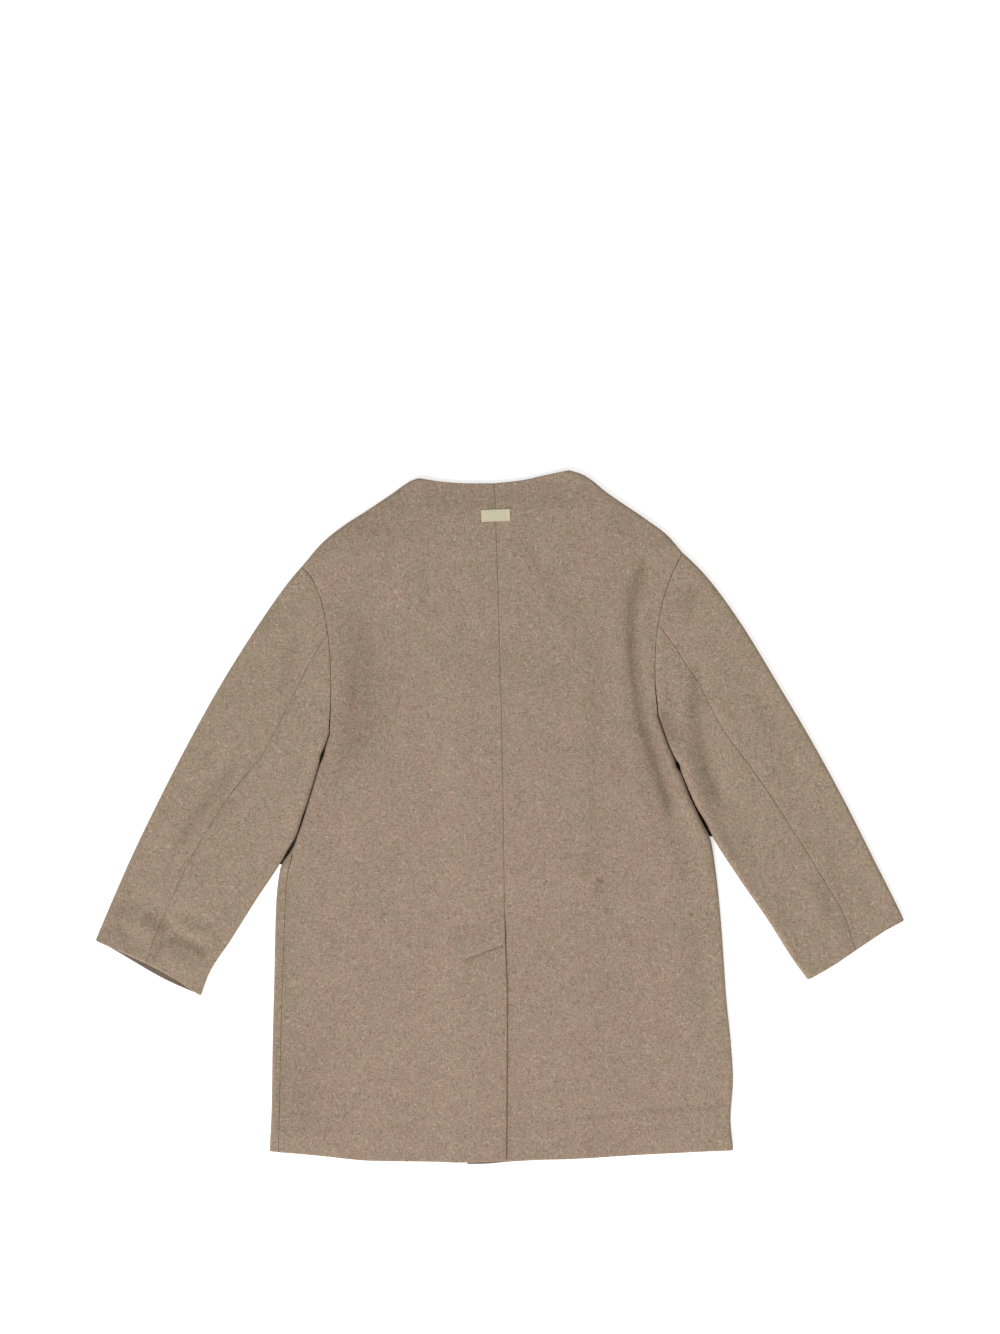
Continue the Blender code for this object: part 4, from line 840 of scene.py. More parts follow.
@dataclass
class Shell:
    """A closed thin shell about a grid of mid-surface points.

    rim is the share of the thickness at each point. It is 0 along the four edges,
    where the two faces of the cloth meet.
    """

    name: str
    mid: Array
    normal: Array
    rim: Array
    thickness: float = WALL

    def build(self, finish: Material) -> Object:
        """Makes the mesh object.

        Args:
            finish: material of the piece, which may read two attributes: how far a point is on the
            inside, and the share of light that the painted shade of its patch takes away.

        Returns:
            The object, at the origin.
        """
        rows, columns = self.rim.shape
        offset = self.normal * (self.rim * self.thickness / 2)[..., None]
        outer, inner = self.mid + offset, self.mid - offset
        edge = np.zeros((rows, columns), bool)
        edge[[0, -1]] = edge[:, [0, -1]] = True
        front = np.arange(rows * columns).reshape(rows, columns)
        back = front.copy()
        back[~edge] = rows * columns + np.arange(int((~edge).sum()))
        points = np.concatenate([outer.reshape(-1, 3), inner[~edge]])
        points[:, 2] = np.maximum(points[:, 2], 0.0)
        piece = mesh_object(self.name, points, np.concatenate(
            [self.quads(front, self.turned()), self.quads(back, not self.turned())]))
        # painted shade, and with a minus painted highlight, of the patches on the points that face
        # up
        shade = np.zeros(len(points))
        up = np.flatnonzero(self.normal[..., 2].ravel() > FACES_UP)
        for painted_patch in PAINTED_SHADE_PATCHES:
            shade[up] += painted_patch.relief(points[up, 0], points[up, 1])
        inside = (np.arange(len(points)) >= rows * columns).astype(float)
        mesh = piece.data
        for name, values in (("shade", shade), ("inside", inside)):
            mesh.attributes.new(name, "FLOAT", "POINT").data.foreach_set("value", values)
        mesh.validate()
        mesh.shade_smooth()
        mesh.materials.append(finish)
        return piece

    def turned(self) -> bool:
        """Whether rows and columns run the other way round than the normals need."""
        i, j = self.rim.shape[0] // 2, self.rim.shape[1] // 2
        run = self.mid[i + 1, j] - self.mid[i, j]
        across = self.mid[i, j + 1] - self.mid[i, j]
        return bool(np.dot(np.cross(across, run), self.normal[i, j]) < 0)

    @staticmethod
    def quads(grid: Array, turned: bool) -> Array:
        """Four corners of each cell of a grid of indices, its way round turned or not."""
        corners = [grid[:-1, :-1], grid[:-1, 1:], grid[1:, 1:], grid[1:, :-1]]
        return np.stack([c.ravel() for c in corners[::-1 if turned else 1]], axis=1)


class SideSeam(Enum):
    """Where a body panel ends at the side."""

    FOLD = "at the fold"
    ON_TOP = "at the seam that shows on top"
    WRAPPED = "rolled over the fold to the seam on top"


def round_roll(length: Array, radius: Array, weight: Array) -> tuple[Array, Array]:
    """Angle and distance in plan from a fold, for a length round its roll."""
    turn = np.clip(length / radius, -RIGHT_ANGLE, RIGHT_ANGLE)
    beyond = np.abs(length) - np.abs(turn) * radius
    plan = radius * (1 - np.cos(turn)) + beyond
    return turn, plan * weight + np.abs(length) * (1 - weight)


@dataclass(frozen=True)
class BodyPanel:
    """A front or a back of one half, as the curves of its edges.

    centre is its free or centre edge as a function of v, hem and top its ends as
    functions of u, and top_weight how far the top is a fold. spacing is the grid's.
    """

    half: CoatHalf
    sheet: int
    centre: Curve
    hem: Curve
    top: Curve
    top_weight: Curve
    height: Height
    start_gap: float
    side_seam: SideSeam
    spacing: float
    upper: Height
    sewn_from: float = 2.0     # v above which the centre edge is sewn to the other half

    def plan(self, u: Array, v: Array) -> Array:
        """Plan position of grid place u, v."""
        return patch(self.centre, self.half.edge, self.hem, self.top, u, v)

    def side_scale(self, v: Array) -> Array:
        """Share of u that a millimetre square to the side takes, in row v."""
        one = np.ones_like(v)
        step = self.plan(one, v) - self.plan(one * 0.98, v)
        return 0.02 / np.maximum(dot(step, outward(self.half.edge, v, self.half.sign)), 0.5)

    def top_scale(self, u: Array) -> Array:
        """Share of v that a millimetre square to the top edge takes, in column u."""
        one = np.ones_like(u)
        step = self.plan(u, one) - self.plan(u, one * 0.98)
        return 0.02 / np.maximum(dot(step, outward(self.top, u, -self.half.sign)), 0.5)

    def side_lengths(self, v: Array) -> Array:
        """Lengths round the side's roll in rows v, minus past the fold, from the last
        column inwards."""
        half_turn = self.half.roll(v)[:, None] * RIGHT_ANGLE
        seam = self.half.seam(v)[:, None]
        gap = SEAM_GAP / 2 + 0.08 * bell((self.half.side_y(v)[:, None] - SEAM_BEND_Y) / 24.0)
        at_fold = 1 - smooth(seam / 1.5)
        if self.side_seam is SideSeam.FOLD:
            start, end, count = np.zeros_like(seam), half_turn + 1.0, 7
        elif self.side_seam is SideSeam.ON_TOP:
            start, end, count = seam + gap * (1 - at_fold), half_turn + 22.0, 11
        else:
            start = -np.maximum(seam - gap - 0.5 * at_fold, 0.0)
            end, count = half_turn + 4.0, 18
        sewn = np.where(self.side_seam is SideSeam.FOLD, SEWN,
                        SEWN_FLAT + (SEWN - SEWN_FLAT) * smooth((v - 0.5) / 0.05))[..., None]
        reach = sewn * RIM_STEPS + np.zeros_like(start)
        rest = sewn + (end - start - sewn) * np.linspace(0, 1, count + 1)[None, 1:]
        return start + np.concatenate([reach, rest], axis=1)

    def rows(self) -> tuple[Array, Array]:
        """Rows below the top, closer by the vent's stitches, and the hem's rounding."""
        tall = NECK_Y - HEM_Y
        low, high = VENT_UNDERLAP[1] - 4.0 - HEM_Y, VENT_TOP[1] + 4.0 - HEM_Y
        reach = np.concatenate([HALF * RIM_STEPS, spread(HALF, low, self.spacing),
                                spread(low, high, self.spacing * 0.45),
                                spread(high, tall - 62.0, self.spacing)])
        return reach / tall, rim_share(reach)

    def shell(self, name: str) -> Shell:
        """Works the panel out as a shell of its own name."""
        levels, hem_rim = self.rows()
        lengths = self.side_lengths(levels)
        weight = self.half.fold_weight(levels)[:, None]
        turn, across = round_roll(lengths, self.half.roll(levels)[:, None], weight)
        u_side = 1 - across * self.side_scale(levels)[:, None]
        width = np.linalg.norm(self.half.edge(levels) - self.centre(levels), axis=-1)[:, None]
        u_start = self.start_gap / width
        sewn = smooth((levels - self.sewn_from) / 0.01)[:, None]
        round_off = (HALF + (SEWN_FLAT - HALF) * sewn) / width
        clear = u_side[:, -1:] - u_start - round_off
        count = int((clear * width).max() / self.spacing)
        inner = np.linspace(0, 1, count, endpoint=False)[None, 1:]
        u_inner = u_start + np.concatenate([RIM_STEPS * round_off, round_off + clear * inner],
                                           axis=1)
        u = np.concatenate([u_inner, u_side[:, ::-1]], axis=1)
        plain = np.ones_like(u_inner)
        side_turn = np.concatenate([plain * RIGHT_ANGLE, np.abs(turn[:, ::-1])], axis=1)
        past_fold = np.concatenate([plain < 0, lengths[:, ::-1] < 0], axis=1)
        column_rim = np.ones(u.shape)
        column_rim[:, :len(RIM_SHARES)] = RIM_SHARES
        column_rim[:, -len(RIM_SHARES):] = RIM_SHARES[::-1]

        arcs, top_turn, v_top = self.top_rows(u[-1])
        bridge = np.linspace(0, 1, 12)[1:-1, None]
        v_bridge = levels[-1] + (v_top[:1] - levels[-1]) * bridge
        v = np.concatenate([np.repeat(levels[:, None], u.shape[1], axis=1), v_bridge, v_top])
        more = len(v) - len(levels)
        u, side_turn, column_rim = (np.concatenate([a, np.repeat(a[-1:], more, axis=0)])
                                    for a in (u, side_turn, column_rim))
        past_fold = np.concatenate([past_fold, np.zeros((more, u.shape[1]), bool)])
        level_turn = np.full((len(levels) + len(bridge), u.shape[1]), RIGHT_ANGLE)
        row_rim = np.concatenate([hem_rim, np.ones(len(bridge)), rim_share(arcs)])
        mid, normal = self.laid(u, v, side_turn, np.concatenate([level_turn, top_turn]),
                                past_fold)
        return Shell(name, mid, normal, column_rim * row_rim[:, None])

    def top_rows(self, u: Array) -> tuple[Array, Array, Array]:
        """Rows near the top edge, from the lowest up.

        Args:
            u: columns of the grid's last level row.

        Returns:
            Length of each row from the edge, then for each row and column its angle
            round the shoulder's roll and its v.
        """
        half_turn = SHOULDER_ROLL * RIGHT_ANGLE
        arcs = np.concatenate([HALF * RIM_STEPS, spread(HALF, half_turn, 0.8),
                               spread(half_turn, half_turn + 20.0, self.spacing)])[::-1]
        turn, plan = round_roll(arcs[:, None], np.asarray(SHOULDER_ROLL),
                                self.top_weight(u)[None, :])
        return arcs, turn + np.zeros_like(plan), 1 - plan * self.top_scale(u)

    def laid(self, u: Array, v: Array, side_turn: Array, top_turn: Array,
             past_fold: Array) -> tuple[Array, Array]:
        """Mid-surface and normals of the whole grid.

        Args:
            u, v: place of each point on the patch.
            side_turn, top_turn: angle round the side's and the shoulder's roll.
            past_fold: whether a point has rolled over to the other layer.

        Returns:
            Points and normals.
        """
        place = self.plan(u, v)
        side_weight, top_weight = self.half.fold_weight(v), self.top_weight(u)
        keep = ((1 - side_weight * (1 - np.sin(side_turn)))
                * (1 - top_weight * (1 - np.sin(top_turn))))
        lean = (outward(self.half.edge, v, self.half.sign)
                * (side_weight * np.cos(side_turn))[..., None]
                + outward(self.top, u, -self.half.sign)
                * (top_weight * np.cos(top_turn))[..., None])
        at_top = top_turn < RIGHT_ANGLE - 0.001
        equator = HALF + np.where(at_top, SHOULDER_ROLL, self.half.roll(v))
        x, y = place[..., 0], place[..., 1]
        mid, normal = lie(x, y, self.height, self.sheet, equator, keep, lean)
        if past_fold.any():
            over, turned = lie(x, y, self.upper, -self.sheet, equator, keep, lean)
            mid = np.where(past_fold[..., None], over, mid)
            normal = np.where(past_fold[..., None], turned, normal)
        return mid, normal


@dataclass(frozen=True)
class SleeveColumn:
    """One line down a sleeve: the sheet that it lies on (+1 top, -1 underside), its
    angle round the fold, its share of the thickness, and its place across."""

    sheet: int
    turn: float
    rim: float
    share: Curve

    def towards(self, last: SleeveColumn, count: int) -> list[SleeveColumn]:
        """Plain columns spread evenly between this one and another."""
        def at(part: float) -> SleeveColumn:
            """Column at a share of the way."""
            return SleeveColumn(self.sheet, RIGHT_ANGLE, 1.0,
                                lambda v: self.share(v) * (1 - part) + last.share(v) * part)
        return [at(k / count) for k in range(1, count)]


@dataclass(frozen=True)
class SleevePanel:
    """The upper or the under sleeve, as the columns that go round its section."""

    sleeve: SleeveTube
    columns: Sequence[SleeveColumn]
    spacing: float
    upper: Height

    def shell(self, name: str) -> Shell:
        """Works the panel out as a shell of its own name."""
        tall = np.hypot(*np.diff(self.sleeve.outer(np.linspace(0, 1, 40)), axis=0).T).sum()
        reach = np.concatenate([SEWN * RIM_STEPS, spread(SEWN, tall - HALF, self.spacing),
                                tall - HALF * RIM_STEPS[-2::-1]])
        levels = SLEEVE_TOP_SHARE + reach / tall * (1 - SLEEVE_TOP_SHARE)
        ends = np.ones_like(levels)
        ends[:len(RIM_SHARES)] = RIM_SHARES
        ends[-len(RIM_SHARES):] = RIM_SHARES[::-1]
        laid = []
        for line in self.columns:
            u = np.clip(line.share(levels), 0.0, 1.0)
            place = self.sleeve.plan(u, levels, line.sheet)
            edge, sign = self.sleeve.fold(bool(u.mean() > 0.5))
            lean = outward(edge, levels, sign) * math.cos(line.turn)
            height = self.upper if line.sheet > 0 else sleeve_under_height
            equator = HALF + self.sleeve.roll(levels, u)
            keep = np.full_like(levels, math.sin(line.turn))
            laid.append((*lie(place[:, 0], place[:, 1], height, line.sheet, equator, keep,
                              lean), ends * line.rim))
        return Shell(name, *(np.stack(parts, axis=1) for parts in zip(*laid)))


def underlap_edge(v: Array) -> Array:
    """Centre-back seam of the right back, and the far edge of its underlap."""
    line = centre_back(v)
    share = np.clip((VENT_TOP[1] - line[..., 1]) / (VENT_TOP[1] - VENT_UNDERLAP[1]), 0, 1)
    x = line[..., 0] + (VENT_UNDERLAP[0] - VENT_TOP[0]) * share
    return np.stack([x, line[..., 1]], axis=-1)


def front_edge(edge_x: Curve, neck: Point, hem: Point) -> Curve:
    """Free edge of a front from its hem corner to the neck corner."""
    def line(v: Array) -> Array:
        """Place on the edge in row v."""
        y = hem[1] + (neck[1] - HALF - hem[1]) * np.asarray(v, float)
        return np.stack([edge_x(y), y], axis=-1)
    return line


@dataclass(frozen=True)
class Cut:
    """Size that a piece was cut to, in metres: width, length and flat area."""

    width: float
    length: float
    area: float


@dataclass(frozen=True)
class CoatBody:
    """The two backs, with the vent, and the two fronts that they lie on."""

    upper: UpperLayer
    spacing: float
    hidden_spacing: float
    back_cut: Cut = Cut(0.31, 0.88, 0.255)
    front_cut: Cut = Cut(0.42, 0.88, 0.30)

    def back(self, half: CoatHalf, centre: Curve, hem: Table, height: Height,
             side: SideSeam) -> BodyPanel:
        """One back, whose neck is cut and whose shoulder is a fold."""
        return BodyPanel(half, 1, centre, lambda u: along(hem, u), half.back_top,
                         half.back_top_weight, height, SEAM_GAP / 2, side, self.spacing,
                         self.upper, (VENT_TOP[1] - HEM_Y) / (NECK_Y - HEM_Y))

    def front(self, half: CoatHalf, edge_x: Curve, hem: Table, height: Height,
              side: SideSeam) -> BodyPanel:
        """One front, whose whole top is a fold."""
        return BodyPanel(half, -1, front_edge(edge_x, half.shoulder[0], hem[0]),
                         lambda u: along(hem, u), half.front_top, np.ones_like, height, 0.0,
                         side, self.hidden_spacing, self.upper)

    def panels(self) -> dict[str, BodyPanel]:
        """Every panel by the name of the node that it stands for."""
        underlap_hem = ((VENT_UNDERLAP[0] + 0.5, HEM_Y + 0.8),) + RIGHT_HEM
        return {
            "back_left": self.back(LEFT, centre_back, LEFT_HEM, self.upper.left_back,
                                   SideSeam.ON_TOP),
            "back_right": self.back(RIGHT, underlap_edge, underlap_hem, self.upper,
                                    SideSeam.FOLD),
            "front_left": self.front(LEFT, left_front_edge, LEFT_FRONT_HEM,
                                     left_front_height, SideSeam.WRAPPED),
            "front_right": self.front(RIGHT, right_front_edge, RIGHT_FRONT_HEM,
                                      right_front_height, SideSeam.FOLD),
        }

    def cut(self, name: str) -> Cut:
        """Cut of a panel."""
        return self.back_cut if name.startswith("back") else self.front_cut


@dataclass(frozen=True)
class CoatSleeve:
    """One sleeve, whose two panels meet in a back seam that shows and a front seam."""

    word: str
    tube: SleeveTube
    upper: UpperLayer
    spacing: float
    hidden_spacing: float
    upper_cut: Cut = Cut(0.24, 0.56, 0.10)
    under_cut: Cut = Cut(0.17, 0.52, 0.062)

    def roll_columns(self, inner: bool) -> list[SleeveColumn]:
        """Columns round one fold, from inside the underside to inside the top."""
        def at(degrees: float) -> SleeveColumn:
            """Column at an angle round the fold, minus on the underside."""
            def share(v: Array) -> Array:
                """Place across the sleeve."""
                radius = self.tube.roll(v, np.full_like(v, float(inner)))
                reach = radius * (1 - math.cos(math.radians(degrees)))
                part = reach * np.minimum(self.tube.scale(v, inner), 0.02)
                return 1 - part if inner else part
            return SleeveColumn(-1 if degrees < 0 else 1, math.radians(abs(degrees)), 1.0, share)
        return [at(degrees) for degrees in range(-90, 91, 15)]

    def rim_columns(self, seam: Curve, sheet: int, side: int) -> list[SleeveColumn]:
        """Rounded edge along a seam, from the seam into the panel.

        Args:
            seam: share of the width at which the seam lies.
            sheet: +1 on top, -1 on the underside.
            side: +1 where the panel lies towards the inner fold, -1 the other way.
        """
        def at(step: float, rim: float) -> SleeveColumn:
            """Column at a share of the rounding from the panel's edge."""
            def share(v: Array) -> Array:
                """Place across the sleeve."""
                width = np.linalg.norm(self.tube.inner(v) - self.tube.outer(v), axis=-1)
                radius = SEWN_FLAT * (0.35 + 0.65 * fading(v))
                return seam(v) + side * (SEAM_GAP / 2 + step * radius) / width
            return SleeveColumn(sheet, RIGHT_ANGLE, rim, share)
        return [at(float(step), float(rim)) for step, rim in zip(RIM_STEPS, RIM_SHARES)]

    def panel(self, inner: bool, under_width: float, top_width: float) -> SleevePanel:
        """Panel round one fold, from the front seam underneath to the back seam on top.

        Args:
            inner: whether it goes round the inner fold.
            under_width, top_width: how wide it is on the underside and on the top.
        """
        side = 1 if inner else -1
        fold = self.roll_columns(inner)
        start = self.rim_columns(lambda v: np.full_like(v, FRONT_SEAM_SHARE), -1, side)
        end = self.rim_columns(self.tube.back_seam, 1, side)[::-1]
        return SleevePanel(self.tube, (
            start + start[-1].towards(fold[0], int(under_width / self.hidden_spacing)) + fold
            + fold[-1].towards(end[0], int(top_width / self.spacing)) + end),
            self.spacing, self.upper)

    def panels(self) -> dict[str, SleevePanel]:
        """Both panels by the names of the nodes that they stand for."""
        return {f"sleeve_{self.word}_upper": self.panel(False, 130.0, 72.0),
                f"sleeve_{self.word}_under": self.panel(True, 34.0, 96.0)}

    def cut(self, name: str) -> Cut:
        """Cut of a panel."""
        return self.upper_cut if name.endswith("upper") else self.under_cut


@dataclass(frozen=True)
class WovenLabel:
    """Bare woven label, sewn flat across the centre-back seam on the outside."""

    upper: UpperLayer
    width: float = 37.0
    depth: float = 15.4
    thickness: float = 0.9
    centre: Point = LABEL_CENTRE
    turn: float = LABEL_TURN
    fold: float = 2.6          # width of the ends that are folded under
    stitch_inset: float = 1.1
    cut: Cut = Cut(0.037, 0.0154, 0.00057)

    def place(self, across: Array, down: Array, rise: float = 0.0) -> tuple[Array, Array]:
        """Points and normals of places on the label, rise above its middle."""
        cos, sin = math.cos(self.turn), math.sin(self.turn)
        x = self.centre[0] + across * cos - down * sin
        y = self.centre[1] + across * sin + down * cos
        flat = np.zeros(x.shape + (2,))
        mid, normal = lie(x, y, self.upper, 1, np.zeros_like(x), np.ones_like(x), flat)
        return mid + normal * (HALF + LAYER_GAP + self.thickness / 2 + rise), normal

    def shell(self) -> Shell:
        """The label, with its ends a little thicker than its middle."""
        reach = np.array([0.0, 0.06, 0.2, 0.45])
        places = [np.concatenate([reach, np.linspace(0.9, size - 0.9, count), size - reach[::-1]])
                  - size / 2 for size, count in ((self.width, 56), (self.depth, 22))]
        across, down = np.meshgrid(*places)
        mid, normal = self.place(across, down)
        from_end = self.width / 2 - np.abs(across)
        from_side = self.depth / 2 - np.abs(down)
        body = 0.72 + 0.28 * smooth((self.fold - from_end) / 0.5)
        rim = body * rim_share(from_end, 0.45) * rim_share(from_side, 0.45)
        return Shell("label_bare_woven", mid, normal, rim, self.thickness)

    def stitch_line(self) -> Array:
        """Closed line of the stitches that hold it, on its upper face."""
        a, b = self.width / 2 - self.stitch_inset, self.depth / 2 - self.stitch_inset
        corners = np.array([(-a, -b), (a, -b), (a, b), (-a, b), (-a, -b)])
        share = np.linspace(0, 4, 81)
        line = np.stack([np.interp(share, range(5), corners[:, k]) for k in (0, 1)])
        return self.place(line[0], line[1], self.thickness / 2)[0]


@dataclass(frozen=True)
class CoatButtons:
    """Four sew-through buttons on the left front, whose faces lie on the surface."""

    columns: tuple[float, ...] = (67.0, -15.0)
    rows: tuple[float, ...] = (122.0, -14.0)
    radius: float = 12.5
    thickness: float = 3.0
    rim: float = 2.6
    dish: float = 0.7
    hole_radius: float = 1.0
    hole_spread: float = 2.3
    sides: int = 64
    hole_sides: int = 20
    thread_radius: float = 0.2
    names: tuple[str, ...] = ("button_upper_outer", "button_upper_inner",
                              "button_lower_outer", "button_lower_inner")

    def centres(self) -> list[Point]:
        """Centre of each button, in the order of its name."""
        return [(x, y) for y in self.rows for x in self.columns]

    def holes(self, centre: Point) -> list[Point]:
        """Centres of one button's four holes."""
        return [(centre[0] + a * self.hole_spread, centre[1] + b * self.hole_spread)
                for a in (-1, 1) for b in (-1, 1)]

    @staticmethod
    def shadow_outline(centre: Point, radius: float, z: float, sides: int) -> list[tuple[float, ...]]:
        """Points of a level circle."""
        return [(centre[0] + radius * math.cos(a), centre[1] + radius * math.sin(a), z)
                for a in np.linspace(0, 2 * math.pi, sides, endpoint=False)]

    @staticmethod
    def band(low: int, sides: int) -> list[tuple[int, ...]]:
        """Faces between the ring that starts at point low and the next one above it."""
        return [(low + k, low + n, low + n + sides, low + k + sides)
                for k, n in ((k, (k + 1) % sides) for k in range(sides))]

    def blank(self, name: str, centre: Point) -> Object:
        """A turned button without its holes, its face down."""
        r, t, sides = self.radius, self.thickness, self.sides
        profile = ((5.6, self.dish), (r - self.rim - 1.6, self.dish * 0.85),
                   (r - self.rim, 0.12), (r - self.rim + 0.8, 0.0), (r - 0.9, 0.0),
                   (r - 0.3, 0.25), (r, 0.9), (r, t - 0.9), (r - 0.35, t - 0.3),
                   (r - 1.0, t), (5.0, t))
        points, faces = [(*centre, self.dish)], []
        for radius, z in profile:
            points += self.shadow_outline(centre, radius, z, sides)
        for low in range(1, len(points) - sides, sides):
            faces += self.band(low, sides)
        last = len(points)
        for k in range(sides):
            n = (k + 1) % sides
            faces += [(0, 1 + n, 1 + k), (last - sides + k, last - sides + n, last)]
        return mesh_object(name, points + [(*centre, t)], faces)

    def build(self, name: str, centre: Point, finish: Material) -> Object:
        """One button with four holes through it."""
        points, faces = [], []
        for hole in self.holes(centre):
            low = range(len(points), len(points) + self.hole_sides)
            for z in (-2.0, self.thickness + 2.0):
                points += self.shadow_outline(hole, self.hole_radius, z, self.hole_sides)
            faces += [*self.band(low[0], self.hole_sides), tuple(reversed(low)),
                      tuple(k + self.hole_sides for k in low)]
        drill = mesh_object("drill", points, faces)
        blank = self.blank(name, centre)
        cut = blank.modifiers.new("holes", "BOOLEAN")
        cut.object, cut.solver = drill, "EXACT"
        piece = settled(blank, name)
        bpy.data.objects.remove(drill)
        piece.data.shade_smooth()
        piece.data.set_sharp_from_angle(angle=math.radians(38))
        piece.data.materials.clear()
        piece.data.materials.append(finish)
        return piece

    def thread_paths(self, centre: Point) -> list[Array]:
        """Strands that cross the button's dished face between its holes."""
        holes, share = np.array(self.holes(centre)), np.linspace(0, 1, 9)
        z = self.dish - 0.28 * np.sin(math.pi * share) + 1.6 * np.abs(2 * share - 1) ** 6
        paths = []
        for start, end in ((0, 1), (2, 3)):
            x, y = (holes[start] + (holes[end] - holes[start]) * share[:, None]).T
            paths += [np.stack([x + shift, y, z], axis=-1) for shift in (-0.42, 0.0, 0.42)]
        return paths


def linked(name: str, data: bpy.types.ID) -> Object:
    """A new object in the scene."""
    piece = bpy.data.objects.new(name, data)
    bpy.context.scene.collection.objects.link(piece)
    return piece


def mesh_object(name: str, points: Table | Array, faces: Sequence[Sequence[int]] = (),
                edges: Sequence[Sequence[int]] = ()) -> Object:
    """Linked object of a mesh given in millimetres."""
    mesh = bpy.data.meshes.new(name)
    mesh.from_pydata(metres(points).tolist(), edges, faces)
    return linked(name, mesh)


def settled(source: Object, name: str) -> Object:
    """Plain mesh object that an object's modifiers make, which takes its place."""
    graph = bpy.context.evaluated_depsgraph_get()
    mesh = bpy.data.meshes.new_from_object(source.evaluated_get(graph))
    bpy.data.objects.remove(source)
    return linked(name, mesh)


def linear(code: str) -> tuple[float, ...]:
    """An sRGB hex colour as the linear colour that the nodes take."""
    parts = [int(code[k:k + 2], 16) / 255 for k in (1, 3, 5)]
    return (*(c / 12.92 if c <= 0.04045 else ((c + 0.055) / 1.055) ** 2.4 for c in parts), 1.0)


def add_node(tree: NodeTree, kind: str, inputs: dict[str | int, object] | None = None,
             **settings: object) -> Node:
    """Adds a node with its settings and links.

    Args:
        tree: tree that takes the node.
        kind: its type name.
        inputs: for each input, a value, the socket that feeds it, or the node whose
            first output in use does.
        settings: the node's own properties.

    Returns:
        The node.
    """
    node = tree.nodes.new(kind)
    for name, value in settings.items():
        setattr(node, name, value)
    for key, value in (inputs or {}).items():
        if isinstance(value, Node):
            value = next(socket for socket in value.outputs if socket.enabled)
        if isinstance(value, NodeSocket):
            tree.links.new(value, node.inputs[key])
        else:
            node.inputs[key].default_value = value
    return node


@dataclass(frozen=True)
class Finish:
    """A material worked out in the object's own coordinates, from a shader node."""

    name: str

    def shader(self, add: AddNode, place: NodeSocket) -> Node:
        """Makes the shader node.

        Args:
            add: adds a node to the material's tree.
            place: the place in the object, in metres.

        Returns:
            The shader node.
        """
        raise NotImplementedError

    def build(self) -> Material:
        """Makes the material."""
        material = bpy.data.materials.new(self.name)
        material.use_nodes = True
        material.node_tree.nodes.clear()
        add = partial(add_node, material.node_tree)
        place = add("ShaderNodeTexCoord").outputs["Object"]
        add("ShaderNodeOutputMaterial", {"Surface": self.shader(add, place)})
        return material


